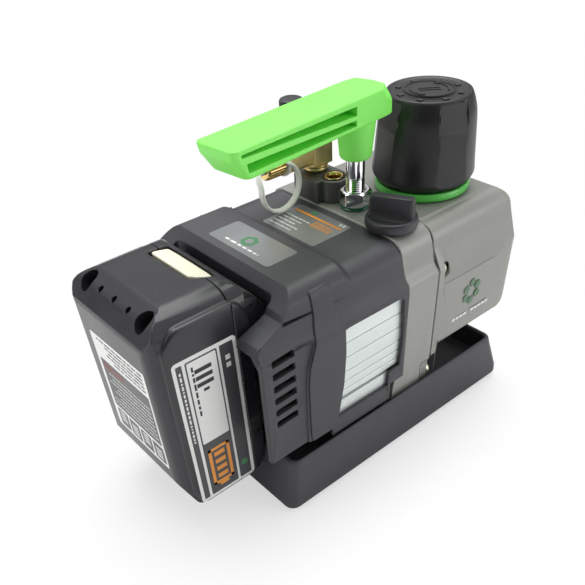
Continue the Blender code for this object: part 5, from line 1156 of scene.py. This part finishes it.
scene = bpy.context.scene
world = bpy.data.worlds.new("studio")
scene.world = world
world.use_nodes = True
wnt = world.node_tree
bg = wnt.nodes["Background"]
tc_ = wnt.nodes.new("ShaderNodeTexCoord")
sx = wnt.nodes.new("ShaderNodeSeparateXYZ")
wnt.links.new(tc_.outputs["Generated"], sx.inputs["Vector"])
wr = wnt.nodes.new("ShaderNodeValToRGB")
wr.color_ramp.elements[0].position = 0.0
wr.color_ramp.elements[0].color = (0.13, 0.13, 0.14, 1)
wr.color_ramp.elements[1].position = 0.7
wr.color_ramp.elements[1].color = (1.0, 1.0, 1.0, 1)
wnt.links.new(sx.outputs["Z"], wr.inputs["Fac"])
# the side the camera stands on is a dark room
dt = wnt.nodes.new("ShaderNodeVectorMath")
dt.operation = 'DOT_PRODUCT'
dt.inputs[1].default_value = (-0.74, -0.60, 0.30)
wnt.links.new(tc_.outputs["Generated"], dt.inputs[0])
dm = wnt.nodes.new("ShaderNodeMapRange")
dm.inputs["From Min"].default_value = 0.45
dm.inputs["From Max"].default_value = 0.90
dm.inputs["To Min"].default_value = 1.0
dm.inputs["To Max"].default_value = 0.06
wnt.links.new(dt.outputs["Value"], dm.inputs["Value"])
ml = wnt.nodes.new("ShaderNodeMix")
ml.data_type = 'RGBA'
ml.blend_type = 'MULTIPLY'
ml.inputs["Factor"].default_value = 1.0
wnt.links.new(wr.outputs["Color"], ml.inputs["A"])
wnt.links.new(dm.outputs["Result"], ml.inputs["B"])
wnt.links.new(ml.outputs["Result"], bg.inputs["Color"])
bg.inputs["Strength"].default_value = 0.9
bg2 = wnt.nodes.new("ShaderNodeBackground")
bg2.inputs["Color"].default_value = (1, 1, 1, 1)
bg2.inputs["Strength"].default_value = 1.0
lp = wnt.nodes.new("ShaderNodeLightPath")
mxs = wnt.nodes.new("ShaderNodeMixShader")
wnt.links.new(lp.outputs["Is Camera Ray"], mxs.inputs["Fac"])
wnt.links.new(bg.outputs["Background"], mxs.inputs[1])
wnt.links.new(bg2.outputs["Background"], mxs.inputs[2])
wnt.links.new(mxs.outputs["Shader"], wnt.nodes["World Output"].inputs["Surface"])


def area(name, loc, aim, size, power, size_y=None, color=(1, 1, 1)):
    d = bpy.data.lights.new(name, 'AREA')
    d.shape = 'RECTANGLE'
    d.size = size
    d.size_y = size_y or size
    d.energy = power
    d.color = color
    o = bpy.data.objects.new(name, d)
    bpy.context.scene.collection.objects.link(o)
    o.location = loc
    o.rotation_mode = 'QUATERNION'
    o.rotation_quaternion = (Vector(aim) - Vector(loc)).to_track_quat('-Z', 'Y')
    return o


area("softbox_top", (0.25, 0.30, 1.15), (0.0, 0.0, 0.05), 1.1, 11.0, 0.8)
area("softbox_left", (-1.15, 0.35, 0.45), (0.0, 0.0, 0.08), 0.7, 4.6, 0.7)
area("softbox_right", (0.70, -1.0, 0.45), (0.0, 0.0, 0.08), 0.7, 3.8, 0.6)

# ------------------------------------------------------------------- camera
CAM_AT = Vector((-0.2062, -0.2441, 0.278))
cam_data = bpy.data.cameras.new("camera")
cam = bpy.data.objects.new("camera", cam_data)
bpy.context.scene.collection.objects.link(cam)
cam.location = CAM_AT
cam.rotation_mode = 'XYZ'
cam.rotation_euler = [math.radians(v) for v in (44.0417, 2.4552, -41.3067)]
cam_data.sensor_width = 36.0
cam_data.lens = 39.394
cam_data.clip_start, cam_data.clip_end = 0.01, 20.0
# the lens shift belongs to the photograph's viewpoint only: it is zero from anywhere else
for prop, val in (("shift_x", -0.02199), ("shift_y", 0.28461)):
    fc = cam_data.driver_add(prop)
    drv = fc.driver
    drv.type = 'SCRIPTED'
    var = drv.variables.new()
    var.name = "cx"
    var.type = 'TRANSFORMS'
    var.targets[0].id = cam
    var.targets[0].transform_type = 'LOC_X'
    var.targets[0].transform_space = 'WORLD_SPACE'
    drv.expression = "%.5f if abs(cx + 0.2062) < 0.0001 else 0.0" % val
scene.camera = cam
scene.view_settings.view_transform = 'Standard'
scene.view_settings.look = 'None'
scene.view_settings.exposure = 0.0

bpy.context.view_layer.update()
